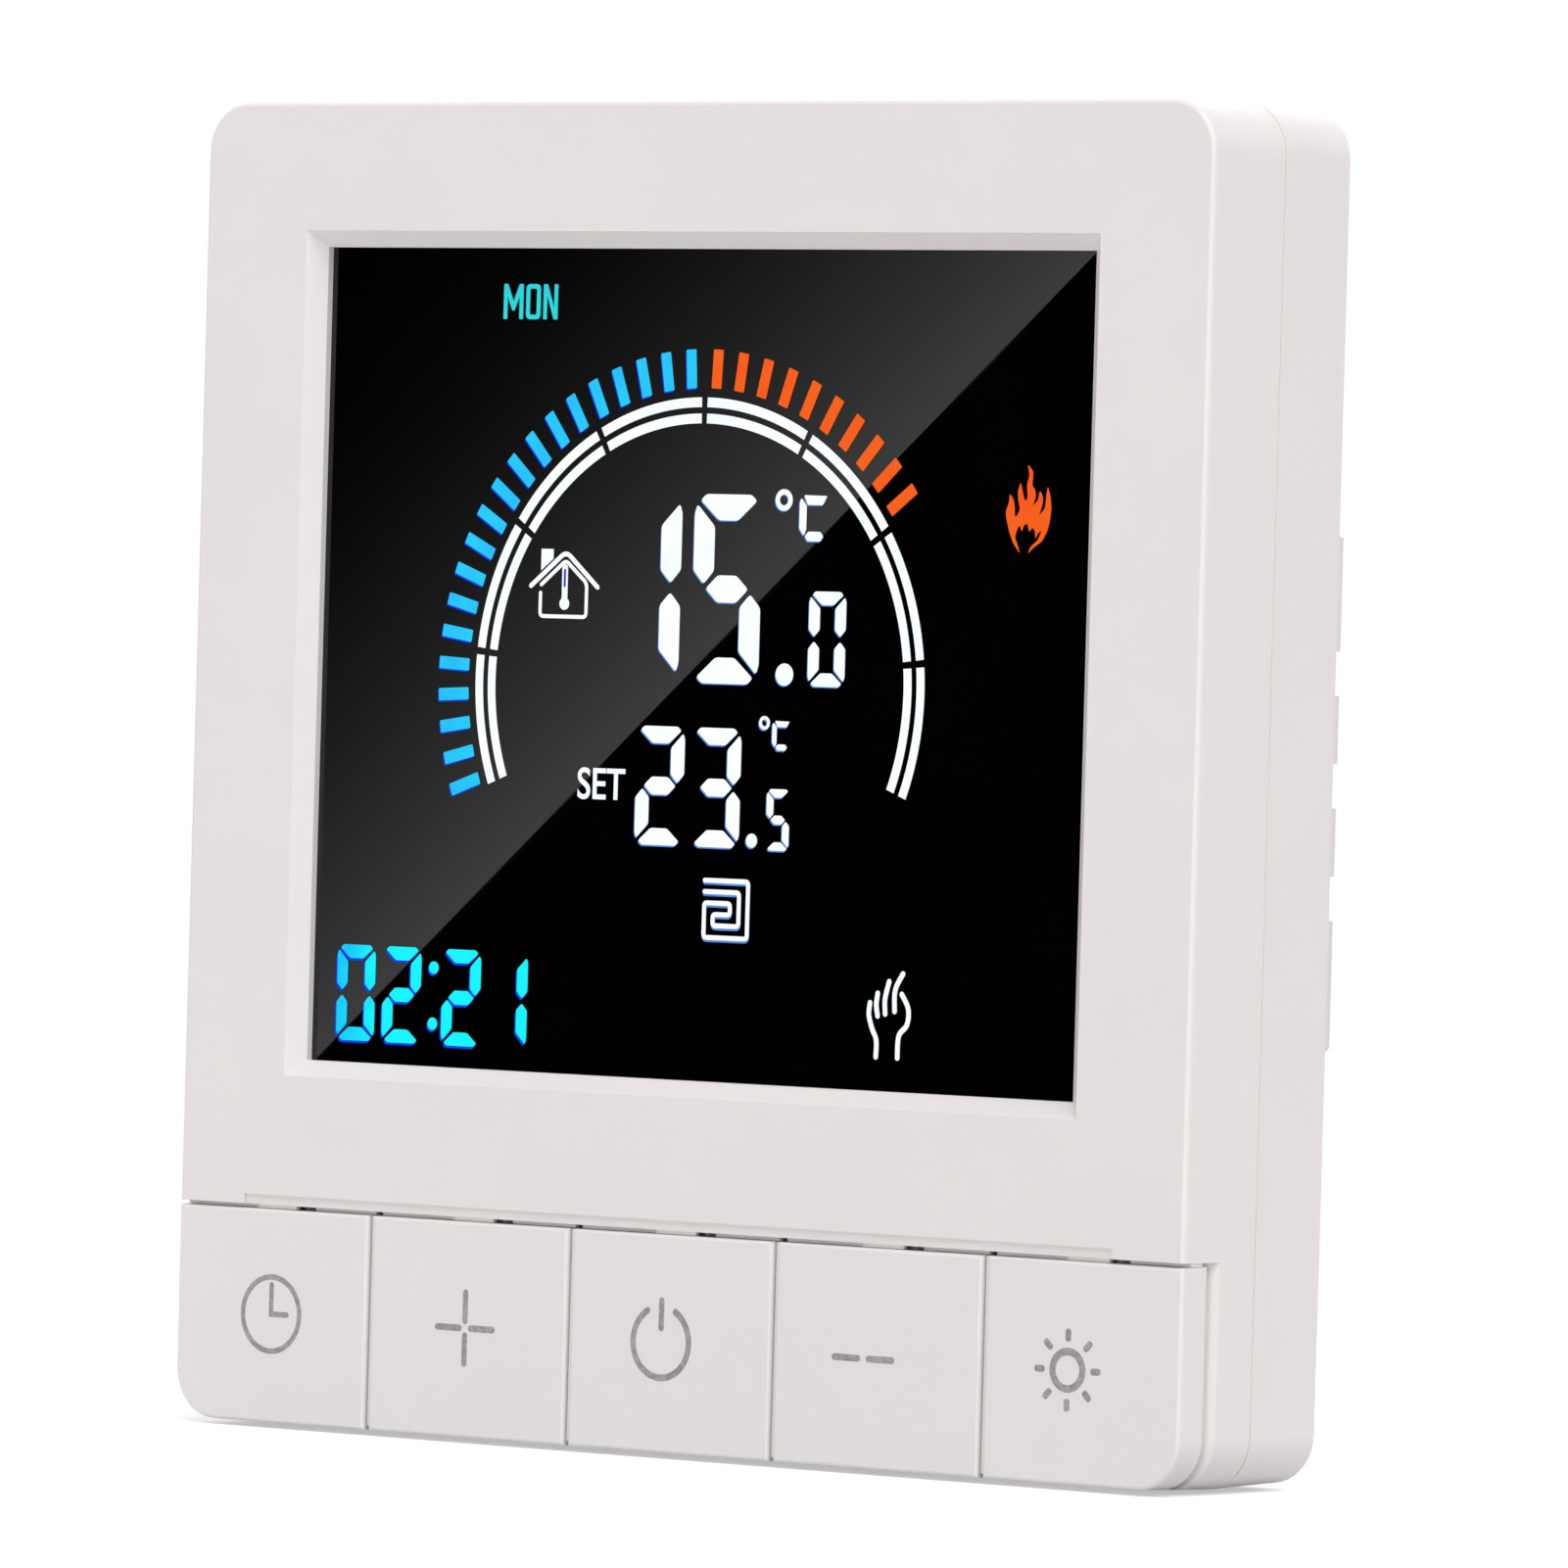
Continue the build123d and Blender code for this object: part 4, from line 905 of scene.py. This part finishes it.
for i in range(upper["count"]):
    leg, x, z = chipX - legOffset(i), upper["end"] + i * upper["spread"], upper["z"] + i * upper["step"]
    addTrack([(leg, tracks["top"]), (leg, z), (x, z)])
    vias.append((x, z))
row = [bus["first"] + i * bus["step"] for i in range(bus["count"])]
for x in row:
    resistors.append((x, bus["row"]))
    addTrack([(x, bus["z"] - (bus["width"] + tracks["width"]) / 2 - bus["gap"]), (x, bus["end"])])
    vias.append((x, bus["end"]))
joints.append((cellX, cellZ - joint["cell"]))
z = chipZ + legOffset(pins["supplyLeg"])
for route in ([joints[-1], (cellX, bus["z"]), (row[-1], bus["z"])],
              [(tracks["right"], z), (cellX - bus["cellSide"], z)]):
    addTrack(route, bus["bend"], bus["width"])

addOnBoard("boardTracks", trackShapes, "track", tracks["height"], "circuit_board")
rings = [ringShape(x, z, via["radius"], via["ring"], via["steps"]) for x, z in vias]
addOnBoard("boardVias", rings, "tin", via["height"], "screw_steel")
growOnBoard("solderJoints", "placedDomes", joint["dome"], joints, "tin")
for name, places in (("resistor", resistors), ("capacitor", smallParts["capacitors"])):
    ends = [(x, z + side * smallParts["endOffset"]) for x, z in places for side in (-1, 1)]
    for label, spots, ink, slot in (("Bodies", places, name, "chip_plastic"), ("Ends", ends, "tin", "screw_steel")):
        growOnBoard(f"{name}{label}", "placedBars", smallParts[label], spots, ink)
growPiece("chipLegs", "chipLegs", pins["row"], {
    "Row": pins["legs"], "Count": pins["sides"], "Start": 0.0, "Step": 2 * pi / pins["sides"], "Ink": inks["tin"],
    "Middle": (chipX * mm, boardY, chipZ * mm)}, "front_part", bentStrip("chipLeg", pins, pins["path"]))
mesh = bentStrip("batteryStrap", strap, filletPath(strap["path"], strap["bend"]), (cellX, boardY / mm, cellZ))
dress(addObject("batteryStrap", mesh), "front_part")

dotX, dotZ, dotRadius = marks["chipDot"]
shapes = [ringShape(cellX, cellZ, *marks["cellRing"]), dotShape(chipX + dotX, chipZ + dotZ, dotRadius)]
shapes += [strokeShape([(cellX + x, cellZ + z) for x, z in line], marks["signWidth"]) for line in marks["sign"]]
for key in keyNames:
    x, z = middleOf(f"switch_{key}")
    shapes.append(tuple(boxLoop(x, z, half, half, corner, 4) for half, corner in marks["switchFrame"]))
addOnBoard("boardMarks", shapes, "marks", marks["height"], "circuit_board")
print("board dressed")


# stage: white surroundings, pale floor, a card that the lens mirrors, soft lamps
stage = {"dome": 0.54, "floorDrop": 0.0002, "floorSize": 1.6, "floorColor": 0.7, "floorRough": 0.9, "floorGlow": 0.45,
         "shadowFrom": 0.1, "shadowTo": 0.22}
world = bpy.data.worlds.new("studio")
bpy.context.scene.world = world
world.use_nodes = True
tree = world.node_tree
rays = addNode(tree, "ShaderNodeLightPath")
seen = addMath(tree, "MAXIMUM", rays["Is Camera Ray"], rays["Is Glossy Ray"])
seen = addMath(tree, "MAXIMUM", seen, rays["Is Transmission Ray"])
glow = addRange(world, seen, stage["dome"], 1.0, 0, 1)
setInputs(tree, tree.nodes["Background"], {"Color": (1, 1, 1, 1), "Strength": glow})


def addSheet(name, low, high, place):
    corners = ((0, 0), (1, 0), (1, 1), (0, 1))
    ends = list(zip(low, high))
    mesh = bpy.data.meshes.new(name)
    mesh.from_pydata([place(ends[0][a], ends[1][b]) for a, b in corners], [], [(0, 1, 2, 3)])
    for loop, corner in zip(mesh.uv_layers.new(name="card").data, corners):
        loop.uv = corner
    sheet = addObject(name, mesh)
    return sheet


half, floorZ = stage["floorSize"] / 2, cadBox[0].z - stage["floorDrop"]
floor = addSheet("floor", (-half, -half), (half, half), lambda x, y: (x, y, floorZ))
paper = newMaterial("floorPaper")
setShader(paper, {"Base Color": (*[stage["floorColor"]] * 3, 1), "Roughness": stage["floorRough"],
                  "Specular IOR Level": 0.0})
tree = paper.node_tree
place = addNode(tree, "ShaderNodeTexCoord")["Object"]
flat = addNode(tree, "ShaderNodeVectorMath", {0: place, 1: (1, 1, 0)}, operation="MULTIPLY")["Vector"]
reach = addNode(tree, "ShaderNodeVectorMath", {0: flat}, operation="LENGTH")["Value"]
fade = addRange(paper, reach, 0, 1, stage["shadowFrom"], stage["shadowTo"], "SMOOTHSTEP")
rays = addNode(tree, "ShaderNodeLightPath")
seen = addMath(tree, "MAXIMUM", rays["Is Camera Ray"], rays["Is Glossy Ray"])
glow = addNode(tree, "ShaderNodeEmission", {"Strength": addMath(tree, "MULTIPLY", seen, stage["floorGlow"])})
plain = tree.nodes["Principled BSDF"].outputs["BSDF"]
near = addNode(tree, "ShaderNodeAddShader", {0: plain, 1: glow["Emission"]})
white, share = addNode(tree, "ShaderNodeEmission"), addMath(tree, "MULTIPLY", seen, fade)
blend = addNode(tree, "ShaderNodeMixShader", {"Fac": share, 1: near["Shader"], 2: white["Emission"]})
setInputs(tree, tree.nodes["Material Output"], {"Surface": blend["Shader"]})
floor.data.materials.append(paper)

# the card stands where the lens mirrors it into the camera: bright along one diagonal, dark below it
card = {"stretch": 1.5, "margin": 0.04, "peak": 1.0, "fadeAt": 0.95, "fadePower": 3.2}
mirrored = Vector((eye.x, 2 * lensY - eye.y, eye.z))
low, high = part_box("display_lens")
margin = card["margin"] * (high - low)
low, high = low - margin, high + margin
glare = addSheet("glareCard", low.xz, high.xz,
                 lambda x, z: mirrored + card["stretch"] * (Vector((x, lensY, z)) - mirrored))
for kind in ("camera", "diffuse", "transmission", "volume_scatter", "shadow"):
    setattr(glare, f"visible_{kind}", False)
sheen = newMaterial("glareSheen")
tree = sheen.node_tree
tree.nodes.remove(tree.nodes["Principled BSDF"])
uv = addNode(tree, "ShaderNodeUVMap")["UV"]
axes = addNode(tree, "ShaderNodeSeparateXYZ", {"Vector": uv})
above = addMath(tree, "SUBTRACT", axes["Y"], axes["X"])
falloff = addRange(sheen, above, 1, 0, 0, card["fadeAt"])
shine = addMath(tree, "MULTIPLY", addMath(tree, "POWER", falloff, card["fadePower"]), card["peak"])
shine = addMath(tree, "MULTIPLY", shine, addMath(tree, "GREATER_THAN", above, 0.0))
light = addNode(tree, "ShaderNodeEmission", {"Strength": shine})
setInputs(tree, tree.nodes["Material Output"], {"Surface": light["Emission"]})
glare.data.materials.append(sheen)

lamps = {"window": {"from": (0.72, -0.42, 1.25), "spread": 45, "strength": 1.95},
         "front": {"from": (0.36, -1.0, 0.05), "spread": 12, "strength": 0.8},
         "rear": {"from": (-0.7, 1.0, 0.4), "spread": 60, "strength": 1.2}}
for name, lamp in lamps.items():
    sun = bpy.data.lights.new(name, "SUN")
    sun.energy = lamp["strength"]
    sun.angle = radians(lamp["spread"])
    rig = addObject(f"{name}Lamp", sun)
    rig.rotation_euler = (-Vector(lamp["from"])).to_track_quat("-Z", "Y").to_euler()
print("stage lit")
